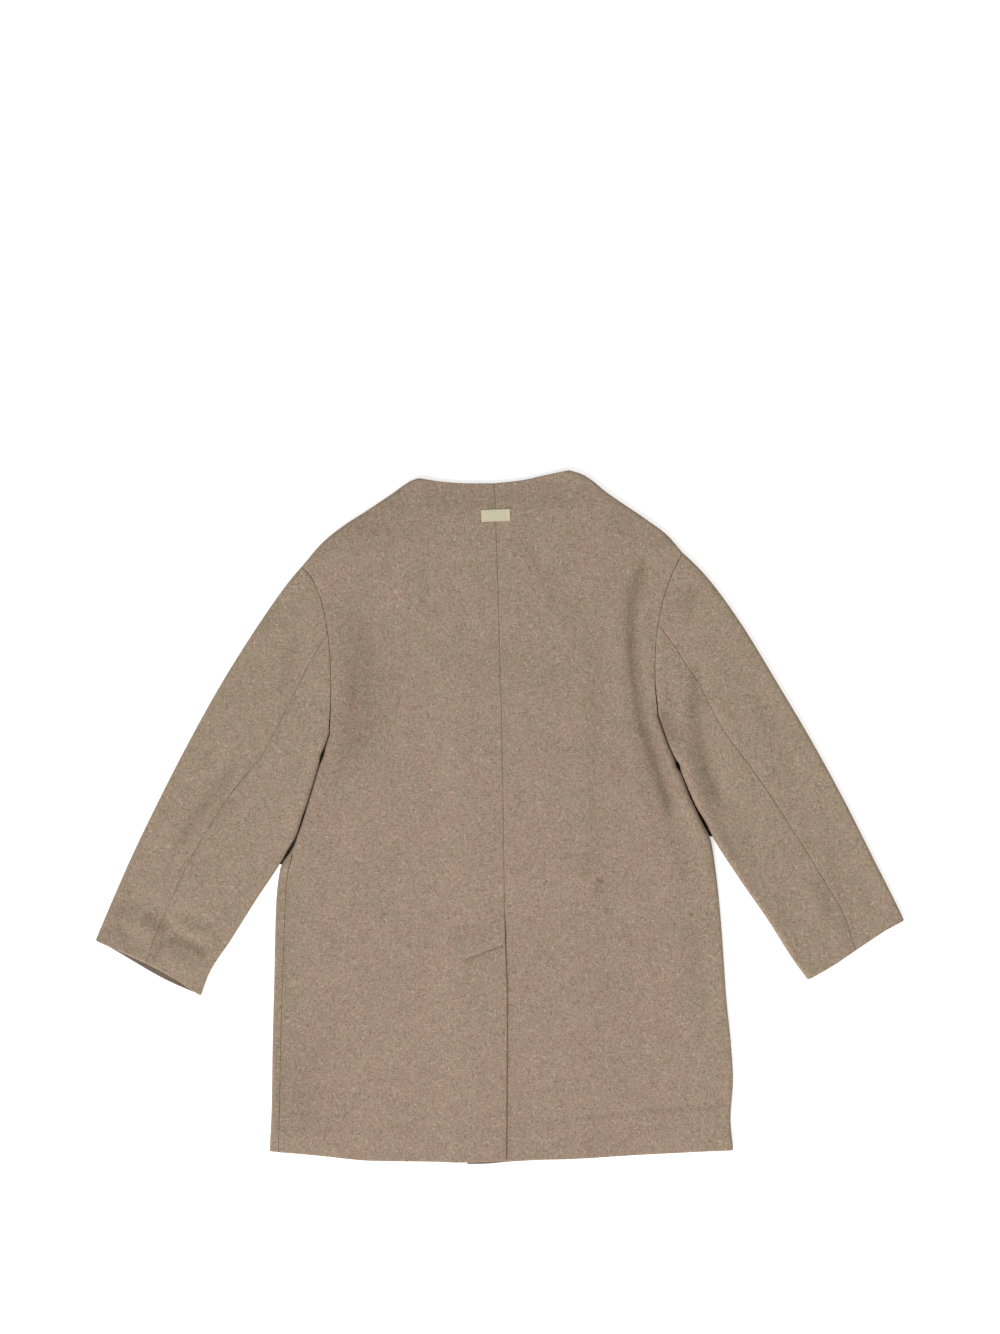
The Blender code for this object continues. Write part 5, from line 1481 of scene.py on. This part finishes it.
@dataclass(frozen=True)
class MelangeWool(Finish):
    """Melton of mixed undyed and brown wool, milled and lightly brushed.

    Fibres of several shades lie in all directions, so it shows short light and dark
    flecks on a taupe ground that drifts between warm and cool, with a matte face.
    """

    name: str = "wool_melton_melange_brushed"
    ground: str = "#9F8B79"
    warm: str = "#A18978"
    cool: str = "#9B8B76"
    light: str = "#C4B39E"
    dark: str = "#6B5B4F"
    sheen: str = "#D9CBB8"
    inner_face_colour: str = "#5A524C"              # darker colour of the inner faces
    mark: tuple[float, ...] = (128.0, -81.4, 9.0)    # small dark mark on the right back
    fleck_width: float = 1.6             # a fibre is 0.03 mm, too fine to show
    fleck_length: float = 5.0
    drift: float = 22.0
    low_drift: float = 0.08              # how much warmer the lower body is
    sleeve_drift: float = -0.14          # how much cooler the sleeves are
    cloud: float = 15.0
    grain: float = 1.0
    relief: float = 0.30

    def flecks(self, add: AddNode, place: NodeSocket) -> list[Node]:
        """Amounts of light and dark flecks: noise drawn out into short bent strokes."""
        bend = add("ShaderNodeTexNoise", {
            "Vector": place, "Scale": 1 / (9.0 * MM), "Detail": 0.0})
        centred = add("ShaderNodeVectorMath", {0: bend.outputs["Color"], 1: (0.5, 0.5, 0.5)},
                      operation="SUBTRACT")
        bent = add("ShaderNodeVectorMath", {0: centred, 1: (4 * MM,) * 3, 2: place},
                   operation="MULTIPLY_ADD")
        across = 1 / (self.fleck_width * MM)
        amounts = [0.0, 0.0]
        for turn, shift in ((0.1, 3.1), (1.5, 17.7), (-0.3, 41.3), (1.25, 63.9)):
            turned = add("ShaderNodeVectorRotate", {"Vector": bent, "Angle": turn},
                         rotation_type="Z_AXIS")
            drawn = add("ShaderNodeMapping", {
                "Vector": turned, "Location": (shift, shift * 0.7, 0.0),
                "Scale": (1 / (self.fleck_length * MM), across, across)})
            noise = add("ShaderNodeTexNoise", {
                "Vector": drawn, "Scale": 1.0, "Detail": 1.5, "Roughness": 0.55})
            for k, (start, end) in enumerate(((0.60, 0.74), (0.40, 0.27))):
                picked = add("ShaderNodeMapRange", {
                    "Value": noise, "From Min": start, "From Max": end},
                    interpolation_type="SMOOTHSTEP")
                amounts[k] = add("ShaderNodeMath", {0: amounts[k], 1: picked},
                                 operation="ADD", use_clamp=True)
        return amounts

    def toned(self, add: AddNode, place: NodeSocket, grain: Node) -> Node:
        """Ground colour, drifting between cool and warm, with its grain and clouds."""
        tone = add("ShaderNodeTexNoise", {
            "Vector": place, "Scale": 1 / (self.drift * MM), "Detail": 2.0, "Roughness": 0.6})
        split = add("ShaderNodeSeparateXYZ", {0: place})
        out = add("ShaderNodeMath", {0: split.outputs["X"]}, operation="ABSOLUTE")
        for value, start, end, most in ((split.outputs["Y"], 200, -60, self.low_drift),
                                        (out, 210, 300, self.sleeve_drift)):
            amount = add("ShaderNodeMapRange", {
                "Value": value, "From Min": start * MM, "From Max": end * MM,
                "To Max": most}, interpolation_type="SMOOTHSTEP")
            tone = add("ShaderNodeMath", {0: tone, 1: amount}, operation="ADD")
        colour = add("ShaderNodeValToRGB", {"Fac": tone})
        first, last = colour.color_ramp.elements
        first.position, first.color = 0.36, linear(self.cool)
        last.position, last.color = 0.64, linear(self.warm)
        colour.color_ramp.elements.new(0.5).color = linear(self.ground)
        clouds = add("ShaderNodeTexNoise", {
            "Vector": place, "Scale": 1 / (self.cloud * MM), "Detail": 2.0, "Roughness": 0.55})
        for noise, depth in ((grain, 0.16), (clouds, 0.055)):
            shade = add("ShaderNodeMapRange", {
                "Value": noise, "From Min": 0.3, "From Max": 0.7,
                "To Min": 1 - depth, "To Max": 1 + depth})
            colour = add("ShaderNodeVectorMath", {0: colour, "Scale": shade}, operation="SCALE")
        return colour

    def marked(self, add: AddNode, place: NodeSocket, colour: Node) -> Node:
        """The colour with the small dark mark on it."""
        ragged = add("ShaderNodeTexNoise", {
            "Vector": place, "Scale": 1 / (3.0 * MM), "Detail": 1.0})
        pushed = add("ShaderNodeVectorMath", {
            0: ragged.outputs["Color"], 1: (5 * MM,) * 3, 2: place}, operation="MULTIPLY_ADD")
        flat = add("ShaderNodeMapping", {
            "Vector": pushed, "Location": tuple(metres(self.mark) + 2.5 * MM),
            "Rotation": (0.0, 0.0, -0.3), "Scale": (1.5, 0.75, 1.0)}, vector_type="TEXTURE")
        reach = add("ShaderNodeVectorMath", {0: flat}, operation="LENGTH")
        spot = add("ShaderNodeMapRange", {
            "Value": reach, "From Min": 1.5 * MM, "From Max": 6.0 * MM, "To Min": 0.6,
            "To Max": 0.0}, interpolation_type="SMOOTHSTEP")
        return add("ShaderNodeMix", {"Factor": spot, 6: colour, 7: linear(self.dark)},
                   data_type="RGBA")

    def shader(self, add: AddNode, place: NodeSocket) -> Node:
        """Makes the shader node, which reads the mesh's painted shade and inside."""
        grain = add("ShaderNodeTexNoise", {
            "Vector": place, "Scale": 1 / (self.grain * MM), "Detail": 2.0, "Roughness": 0.7})
        light, dark = self.flecks(add, place)
        colour = self.toned(add, place, grain)
        for amount, share, code in ((light, 0.62, self.light), (dark, 0.55, self.dark)):
            part = add("ShaderNodeMath", {0: amount, 1: share}, operation="MULTIPLY")
            colour = add("ShaderNodeMix", {"Factor": part, 6: colour, 7: linear(code)},
                         data_type="RGBA")
        colour = self.marked(add, place, colour)
        # painted shade from the mesh's shade attribute darkens the colour, and a minus lightens it
        # as a painted highlight
        shade, inside = (add("ShaderNodeAttribute", attribute_name=name).outputs["Fac"]
                         for name in ("shade", "inside"))
        left = add("ShaderNodeMath", {0: 1.0, 1: shade}, operation="SUBTRACT")
        colour = add("ShaderNodeVectorMath", {0: colour, "Scale": left}, operation="SCALE")
        # inner faces are mixed 70% towards a darker colour
        part = add("ShaderNodeMath", {0: inside, 1: 0.7}, operation="MULTIPLY")
        colour = add("ShaderNodeMix", {"Factor": part, 6: colour, 7: linear(self.inner_face_colour)},
                     data_type="RGBA")
        height = add("ShaderNodeMath", {0: light, 1: dark}, operation="SUBTRACT")
        height = add("ShaderNodeMath", {0: grain, 1: 1.4, 2: height}, operation="MULTIPLY_ADD")
        bump = add("ShaderNodeBump", {
            "Strength": 0.55, "Distance": self.relief * MM, "Height": height})
        rough = add("ShaderNodeMapRange", {"Value": grain, "To Min": 0.84, "To Max": 1.0})
        return add("ShaderNodeBsdfPrincipled", {
            "Base Color": colour, "Roughness": rough, "Normal": bump,
            "Specular IOR Level": 0.15, "Sheen Weight": 0.22, "Sheen Roughness": 0.5,
            "Sheen Tint": linear(self.sheen)})


@dataclass(frozen=True)
class WoolFibre(Finish):
    """Loose ends of the same wool, each of one shade from light to dark."""

    name: str = "wool_fibre_ends"
    light: str = "#C9BAA6"
    dark: str = "#7A6A5B"

    def shader(self, add: AddNode, place: NodeSocket) -> Node:
        """Makes the shader node, which reads each fibre's own tone."""
        tone = add("ShaderNodeAttribute", attribute_name="tone").outputs["Fac"]
        colour = add("ShaderNodeMix", {
            "Factor": tone, 6: linear(self.dark), 7: linear(self.light)}, data_type="RGBA")
        return add("ShaderNodeBsdfPrincipled", {
            "Base Color": colour, "Roughness": 0.8, "Specular IOR Level": 0.2,
            "Sheen Weight": 0.2, "Sheen Roughness": 0.4})


@dataclass(frozen=True)
class WovenTape(Finish):
    """Satin-woven polyester label tape: a pale smooth face with a fine rib across, a
    little pinker at its two ends."""

    name: str = "polyester_label_tape_satin_woven"
    colour: str = "#D1CBAF"
    shadow: str = "#B7B092"
    end: str = "#D8C6B2"
    rib: float = 0.75         # threads are 0.2 mm, too fine to show
    middle: float = 13.5      # where the ends start, from the centre
    centre: Point = LABEL_CENTRE
    turn: float = LABEL_TURN

    def shader(self, add: AddNode, place: NodeSocket) -> Node:
        """Makes the shader node."""
        ribs = add("ShaderNodeTexWave", {
            "Vector": place, "Scale": 1 / (self.rib * MM) / 3.2, "Distortion": 1.2,
            "Detail": 1.0, "Detail Scale": 1.5}, bands_direction="Y").outputs["Fac"]
        specks = add("ShaderNodeTexNoise", {
            "Vector": place, "Scale": 1 / (0.8 * MM), "Detail": 2.0})
        share = add("ShaderNodeMath", {0: ribs, 1: specks}, operation="MULTIPLY")
        flat = add("ShaderNodeMapping", {
            "Vector": place, "Location": tuple(metres((*self.centre, 0.0))),
            "Rotation": (0.0, 0.0, self.turn)}, vector_type="TEXTURE")
        across = add("ShaderNodeSeparateXYZ", {0: flat})
        reach = add("ShaderNodeMath", {0: across}, operation="ABSOLUTE")
        ends = add("ShaderNodeMapRange", {
            "Value": reach, "From Min": self.middle * MM,
            "From Max": (self.middle + 1.2) * MM, "To Max": 0.7},
            interpolation_type="SMOOTHSTEP")
        colour = linear(self.colour)
        for part, code in ((share, self.shadow), (ends, self.end)):
            colour = add("ShaderNodeMix", {"Factor": part, 6: colour, 7: linear(code)},
                         data_type="RGBA")
        bump = add("ShaderNodeBump", {"Strength": 0.5, "Distance": 0.06 * MM, "Height": ribs})
        return add("ShaderNodeBsdfPrincipled", {
            "Base Color": colour, "Roughness": 0.55, "Normal": bump,
            "Specular IOR Level": 0.35, "Sheen Weight": 0.15, "Sheen Roughness": 0.4})


@dataclass(frozen=True)
class ResinButton(Finish):
    """Polyester resin cast to look like horn: brown with soft streaks, polished."""

    name: str = "polyester_resin_horn_effect_polished"
    base: str = "#4A3A2D"
    streak: str = "#7B6149"
    streak_width: float = 2.6

    def shader(self, add: AddNode, place: NodeSocket) -> Node:
        """Makes the shader node."""
        across = 1 / (self.streak_width * MM)
        drawn = add("ShaderNodeMapping", {
            "Vector": place, "Rotation": (0.0, 0.0, 0.6),
            "Scale": (across / 5, across, across)})
        noise = add("ShaderNodeTexNoise", {
            "Vector": drawn, "Scale": 1.0, "Detail": 3.0, "Distortion": 0.8})
        picked = add("ShaderNodeMapRange", {
            "Value": noise, "From Min": 0.45, "From Max": 0.68},
            interpolation_type="SMOOTHSTEP")
        colour = add("ShaderNodeMix", {
            "Factor": picked, 6: linear(self.base), 7: linear(self.streak)},
            data_type="RGBA")
        rough = add("ShaderNodeMapRange", {"Value": noise, "To Min": 0.22, "To Max": 0.4})
        return add("ShaderNodeBsdfPrincipled", {
            "Base Color": colour, "Roughness": rough, "IOR": 1.54, "Coat Weight": 0.25,
            "Coat Roughness": 0.15})


@dataclass(frozen=True)
class SewingThread(Finish):
    """Spun polyester thread, matte, with a twist that shows as a fine slant."""

    colour: str
    shadow: str
    twist: float = 0.5

    def shader(self, add: AddNode, place: NodeSocket) -> Node:
        """Makes the shader node."""
        twist = add("ShaderNodeTexWave", {
            "Vector": place, "Scale": 1 / (self.twist * MM) / 3.2, "Distortion": 0.5},
            bands_direction="DIAGONAL").outputs["Fac"]
        colour = add("ShaderNodeMix", {
            "Factor": twist, 6: linear(self.shadow), 7: linear(self.colour)},
            data_type="RGBA")
        return add("ShaderNodeBsdfPrincipled", {
            "Base Color": colour, "Roughness": 0.75, "Specular IOR Level": 0.3,
            "Sheen Weight": 0.1})


@dataclass(frozen=True)
class StudioPaper(Finish):
    """White paper on a lit table: matte, with the faint cloudiness of its pulp, and
    lit from below so that shadows on it stay pale."""

    name: str = "paper_seamless_white"
    white: str = "#F7F7F6"
    cloud: str = "#F2F2F1"
    glow: float = 0.5

    def shader(self, add: AddNode, place: NodeSocket) -> Node:
        """Makes the shader node."""
        pulp = add("ShaderNodeTexNoise", {
            "Vector": place, "Scale": 1 / (60 * MM), "Detail": 3.0})
        colour = add("ShaderNodeMix", {
            "Factor": pulp, 6: linear(self.white), 7: linear(self.cloud)}, data_type="RGBA")
        return add("ShaderNodeBsdfPrincipled", {
            "Base Color": colour, "Roughness": 0.9, "Specular IOR Level": 0.1,
            "Emission Color": (1.0, 1.0, 1.0, 1.0), "Emission Strength": self.glow})


def new_tree(name: str, sizes: dict[str, float]) -> tuple[
        NodeTree, AddNode, Sequence[NodeSocket]]:
    """A Geometry Nodes tree with named inputs.

    Args:
        name: the tree's name.
        sizes: default of each input after the geometry, a whole number for a whole one.

    Returns:
        The tree, what adds a node to it, and the sockets that give out its inputs.
    """
    tree = bpy.data.node_groups.new(name, "GeometryNodeTree")
    for way in ("INPUT", "OUTPUT"):
        tree.interface.new_socket("Geometry", in_out=way, socket_type="NodeSocketGeometry")
    for label, size in sizes.items():
        kind = "NodeSocketInt" if isinstance(size, int) else "NodeSocketFloat"
        tree.interface.new_socket(label, in_out="INPUT", socket_type=kind).default_value = size
    add = partial(add_node, tree)
    return tree, add, add("NodeGroupInput").outputs


def ended(tree: NodeTree, made: Node, finish: Material) -> NodeTree:
    """The tree, with what a node made given out as a plain mesh in a finish."""
    real = add_node(tree, "GeometryNodeRealizeInstances", {"Geometry": made})
    dressed = add_node(tree, "GeometryNodeSetMaterial", {"Geometry": real, "Material": finish})
    add_node(tree, "NodeGroupOutput", {0: dressed})
    return tree


def grown(source: Object, tree: NodeTree, sizes: dict[str, float], name: str) -> Object:
    """Runs a tree on an object that is then removed.

    Args:
        source: object that the tree works on.
        tree: Geometry Nodes tree.
        sizes: value of each named input.
        name: name of the result.

    Returns:
        The result as a plain mesh object at the origin.
    """
    modifier = source.modifiers.new(name, "NODES")
    modifier.node_group = tree
    for item in tree.interface.items_tree:
        if item.item_type == "SOCKET" and item.in_out == "INPUT" and item.name in sizes:
            modifier[item.identifier] = sizes[item.name]
    return settled(source, name)


@dataclass(frozen=True)
class Nap:
    """Loose fibre ends that stand up a little all over the brushed cloth."""

    per_square_metre: float = 62000.0
    length: float = 3.6
    width: float = 0.16          # a fibre is 0.03 mm, drawn thicker so that it shows
    least_tilt: float = 50.0
    most_tilt: float = 84.0

    def sizes(self, share: float = 1.0, seed: int = 1) -> dict[str, float]:
        """The tree's inputs, for a share of the full density."""
        return {"Density": self.per_square_metre * share, "Length": self.length * MM,
                "Width": self.width / 2 * MM, "Least Tilt": math.radians(self.least_tilt),
                "Most Tilt": math.radians(self.most_tilt), "Seed": seed}

    def tree(self, finish: Material) -> NodeTree:
        """Tree that scatters three-sided spikes over faces."""
        tree, add, given = new_tree("nap of fibre ends", self.sizes())
        fibre = add("GeometryNodeMeshCone", {
            "Vertices": 3, "Radius Top": 0.0, "Radius Bottom": given["Width"],
            "Depth": given["Length"]})
        places = add("GeometryNodeDistributePointsOnFaces", {
            "Mesh": given["Geometry"], "Density": given["Density"], "Seed": given["Seed"]})
        size = add("FunctionNodeRandomValue", {2: 0.45, 3: 1.25, "Seed": given["Seed"]},
                   data_type="FLOAT")
        stood = add("GeometryNodeInstanceOnPoints", {
            "Points": places, "Instance": fibre, "Rotation": places.outputs["Rotation"],
            "Scale": size})
        spin = add("FunctionNodeRandomValue", {
            0: (0.0, 0.0, 0.0), 1: (0.0, 0.0, 2 * math.pi), "Seed": 5},
            data_type="FLOAT_VECTOR")
        tilt = add("FunctionNodeRandomValue", {
            2: given["Least Tilt"], 3: given["Most Tilt"], "Seed": 9}, data_type="FLOAT")
        for turn in (spin, add("ShaderNodeCombineXYZ", {"X": tilt})):
            stood = add("GeometryNodeRotateInstances", {"Instances": stood, "Rotation": turn})
        tone = add("FunctionNodeRandomValue", {"Seed": 21}, data_type="FLOAT")
        named = add("GeometryNodeStoreNamedAttribute", {
            "Geometry": stood, "Name": "tone", "Value": tone},
            data_type="FLOAT", domain="INSTANCE")
        return ended(tree, named, finish)

    def grow(self, shell: Shell, tree: NodeTree, share: float, seed: int) -> Object:
        """Nap of one shell's upward faces, at a share of the full density."""
        outer = shell.mid + shell.normal * (shell.rim * shell.thickness / 2)[..., None]
        faces = Shell.quads(np.arange(shell.rim.size).reshape(shell.rim.shape),
                            shell.turned())
        up = shell.normal.reshape(-1, 3)[faces][..., 2].min(axis=1) > FACES_UP
        cover = mesh_object("cover", outer.reshape(-1, 3), faces[up])
        return grown(cover, tree, self.sizes(share, seed), f"nap_{shell.name}")


def chain(lines: Sequence[Array]) -> Object:
    """Linked object of edges along some lines of points."""
    points, edges = [], []
    for line in lines:
        edges += [(len(points) + k, len(points) + k + 1) for k in range(len(line) - 1)]
        points += line.tolist()
    return mesh_object("chain", points, edges=edges)


@dataclass(frozen=True)
class Stitches:
    """A row of machine stitches along a line."""

    length: float
    pitch: float
    radius: float

    def sew(self, line: Array, finish: Material, name: str) -> Object:
        """Small capsules laid along a line of points."""
        sizes = {"Length": self.length * MM, "Pitch": self.pitch * MM,
                 "Radius": self.radius * MM}
        tree, add, given = new_tree("stitches along a line", sizes)
        path = add("GeometryNodeMeshToCurve", {"Mesh": given["Geometry"]})
        marks = add("GeometryNodeResampleCurve", {"Curve": path, "Length": given["Pitch"]},
                    mode="LENGTH")
        ball = add("GeometryNodeMeshUVSphere", {"Segments": 8, "Rings": 6, "Radius": 1.0})
        half = add("ShaderNodeMath", {0: given["Length"], 1: 0.5}, operation="MULTIPLY")
        size = add("ShaderNodeCombineXYZ", {
            "X": half, "Y": given["Radius"], "Z": given["Radius"]})
        turn = add("FunctionNodeAlignRotationToVector", {
            "Vector": add("GeometryNodeInputTangent")}, axis="X")
        laid = add("GeometryNodeInstanceOnPoints", {
            "Points": marks, "Instance": ball, "Rotation": turn, "Scale": size})
        return grown(chain([line]), ended(tree, laid, finish), sizes, name)


def threads(lines: Sequence[Array], radius: float, finish: Material, name: str) -> Object:
    """Threads of a round section along some lines of points."""
    sizes = {"Radius": radius * MM}
    tree, add, given = new_tree("thread along a line", sizes)
    path = add("GeometryNodeMeshToCurve", {"Mesh": given["Geometry"]})
    section = add("GeometryNodeCurvePrimitiveCircle", {
        "Resolution": 8, "Radius": given["Radius"]})
    tube = add("GeometryNodeCurveToMesh", {
        "Curve": path, "Profile Curve": section, "Fill Caps": True})
    return grown(chain(lines), ended(tree, tube, finish), sizes, name)


@dataclass(frozen=True)
class Studio:
    """White paper floor, soft light from overhead and a camera straight above."""

    view_centre: Point = (0.0, 192.5)      # middle of the photograph, in millimetres
    frame_height: float = 1.7075           # what the photograph's long side takes in
    lens: float = 50.0
    sensor: float = 36.0
    cloth_height: float = 0.008
    floor_side: float = 14000.0
    floor_height: float = -0.2             # a hair below the cloth that lies on it
    light_place: tuple[float, ...] = (-3.6, -7.5, 7.2)
    light_side: float = 4.1
    light_power: float = 970.0
    light_colour: tuple[float, ...] = (1.0, 0.985, 0.965)
    room_light: float = 0.52

    def build(self) -> None:
        """Makes floor, the dark sheet of painted shadow under the coat, light, world and camera.
        """
        half, low = self.floor_side / 2, self.floor_height
        corners = [(x * half, y * half, low) for x, y in ((-1, -1), (1, -1), (1, 1), (-1, 1))]
        # a dark sheet of painted shadow lies on the floor under the coat, so that gaps between the
        # pieces show dark
        shadow_outline = np.concatenate([self.border(RIGHT, RIGHT_SLEEVE, -24.0),
                               self.border(LEFT, LEFT_SLEEVE, -58.0)[::-1]])
        points = corners + [(x, y, low + 0.05) for x, y in shadow_outline]
        floor = mesh_object("floor_paper", points, [(0, 1, 2, 3), tuple(range(4, len(points)))])
        # the second paper is the dark sheet of painted shadow
        for paper in (StudioPaper(),
                      StudioPaper("painted_shadow_under_the_coat", "#3E3129", "#382C25", glow=0.0)):
            floor.data.materials.append(paper.build())
        floor.data.polygons[1].material_index = 1
        self.light()
        self.surroundings()
        self.camera()

    @staticmethod
    def border(half: CoatHalf, sleeve: SleeveTube, parted: float) -> Array:
        """Outline of one half's footprint, where a dark sheet of painted shadow covers the lit
        table.

        Args:
            half, sleeve: the half of the body and its sleeve.
            parted: height up the coat below which the floor shows between them.

        Returns:
            Points in plan from the hem's corner round the sleeve to the centre back.
        """
        share = np.linspace(0, 1, 80)
        side = half.edge(share * half.underarm_v)
        inner = sleeve.inner(share)
        return np.concatenate([side[side[:, 1] < parted], inner[inner[:, 1] < parted],
                               sleeve.cuff(share[::-1], -1), sleeve.outer(share[::-1]),
                               half.back_top(share[::-1])])

    def light(self) -> None:
        """A square soft light that looks at the middle of the coat."""
        lamp = bpy.data.lights.new("key_softbox", "AREA")
        lamp.shape, lamp.size = "SQUARE", self.light_side
        lamp.energy, lamp.color = self.light_power, self.light_colour
        box = linked("key_softbox", lamp)
        box.location = self.light_place
        box.rotation_euler = Vector(self.light_place).to_track_quat("Z", "Y").to_euler()

    def surroundings(self) -> None:
        """Even white surroundings and plain colour management."""
        scene = bpy.context.scene
        world = bpy.data.worlds.new("white_room")
        world.use_nodes = True
        back = world.node_tree.nodes["Background"]
        back.inputs["Color"].default_value = (1.0, 1.0, 1.0, 1.0)
        back.inputs["Strength"].default_value = self.room_light
        scene.world = world
        scene.view_settings.view_transform = "Standard"
        scene.view_settings.look = "None"
        scene.view_settings.exposure = 0.0

    def camera(self) -> None:
        """The photograph's camera: straight down, its top towards the neck."""
        lens = bpy.data.cameras.new("overhead")
        lens.lens, lens.sensor_width, lens.sensor_fit = self.lens, self.sensor, "AUTO"
        lens.clip_start = 0.05
        camera = linked("overhead", lens)
        x, y, _ = metres((*self.view_centre, 0.0))
        away = self.frame_height * self.lens / self.sensor
        camera.location = (x, y, self.cloth_height + away)
        bpy.context.scene.camera = camera


class Slot(Enum):
    """Material slots of the record."""

    WOOL = "wool"
    LABEL = "label_tape"
    BUTTON = "button_horn"


def place_piece(piece: Object, slot: Slot, node: str | None = None) -> None:
    """Lets a piece ride on the coat, in the place of a node if named."""
    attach(piece, "root")
    if node:
        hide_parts(node)
    faces = sum(len(p.vertices) - 2 for p in piece.data.polygons)
    LOG.info("%s: %d triangles", piece.name, faces)


def build_cloth(upper: UpperLayer, quick: bool) -> None:
    """Body, sleeves and the nap on what faces up."""
    wool = MelangeWool().build()
    nap = Nap()
    nap_tree = nap.tree(WoolFibre().build())
    step = 2.0 if quick else 1.0
    groups = [CoatBody(upper, 2.6 * step, 4.4 * step)]
    groups += [CoatSleeve(word, tube, upper, 2.6 * step, 6.0 * step)
               for word, tube in (("left", LEFT_SLEEVE), ("right", RIGHT_SLEEVE))]
    parts = [(name, panel, group.cut(name)) for group in groups
             for name, panel in group.panels().items()]
    for seed, (name, panel, cut) in enumerate(parts, 1):
        shell = panel.shell(f"{name}_wool")
        piece = shell.build(wool)
        place_piece(piece, Slot.WOOL, name)
        area = sum(p.area for p in piece.data.polygons) / 2
        LOG.info("%s: %.4f square metres of cloth", piece.name, area)
        nap_piece = nap.grow(shell, nap_tree, 0.25 if quick else 1.0, seed)
        place_piece(nap_piece, Slot.WOOL)


def build_trims(upper: UpperLayer) -> None:
    """Label, vent stitching and buttons."""
    label = WovenLabel(upper)
    tape = label.shell().build(WovenTape().build())
    place_piece(tape, Slot.LABEL, "label")
    pale = SewingThread("polyester_thread_pale", "#D2C8B0", "#A79C82").build()
    stitches = Stitches(length=1.7, pitch=2.2, radius=0.17)
    sewn = stitches.sew(label.stitch_line(), pale, "label_stitches")
    place_piece(sewn, Slot.LABEL)

    start, end = np.array(VENT_TOP) - (2.4, 1.0), np.array(VENT_UNDERLAP)
    x, y = (start + (end - start) * np.linspace(0, 1, 60)[:, None]).T
    z = upper.left_back(x, y) + HALF - 0.1
    brown = SewingThread("polyester_thread_taupe", "#8E7B68", "#6B5B4C").build()
    bar = Stitches(length=2.4, pitch=3.1, radius=0.2)
    tack = bar.sew(np.stack([x, y, z], axis=-1), brown, "vent_stitches")
    place_piece(tack, Slot.WOOL)

    buttons = CoatButtons()
    horn = ResinButton().build()
    for node, centre in zip(buttons.names, buttons.centres()):
        place_piece(buttons.build(f"{node}_horn", centre, horn), Slot.BUTTON, node)
        place_piece(threads(buttons.thread_paths(centre), buttons.thread_radius, brown,
                            f"{node}_thread"), Slot.BUTTON)


def main() -> None:
    """Loads the frame and builds the coat and the studio in order."""
    logging.basicConfig(level=logging.INFO, format="%(name)s: %(message)s")
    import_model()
    quick = bool(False)
    upper = UpperLayer(3.0 if quick else 1.5)
    LOG.info("upper layer: %s heights", "x".join(map(str, upper.values.shape)))
    build_cloth(upper, quick)
    build_trims(upper)
    Studio().build()


if __name__ == "__main__":
    main()
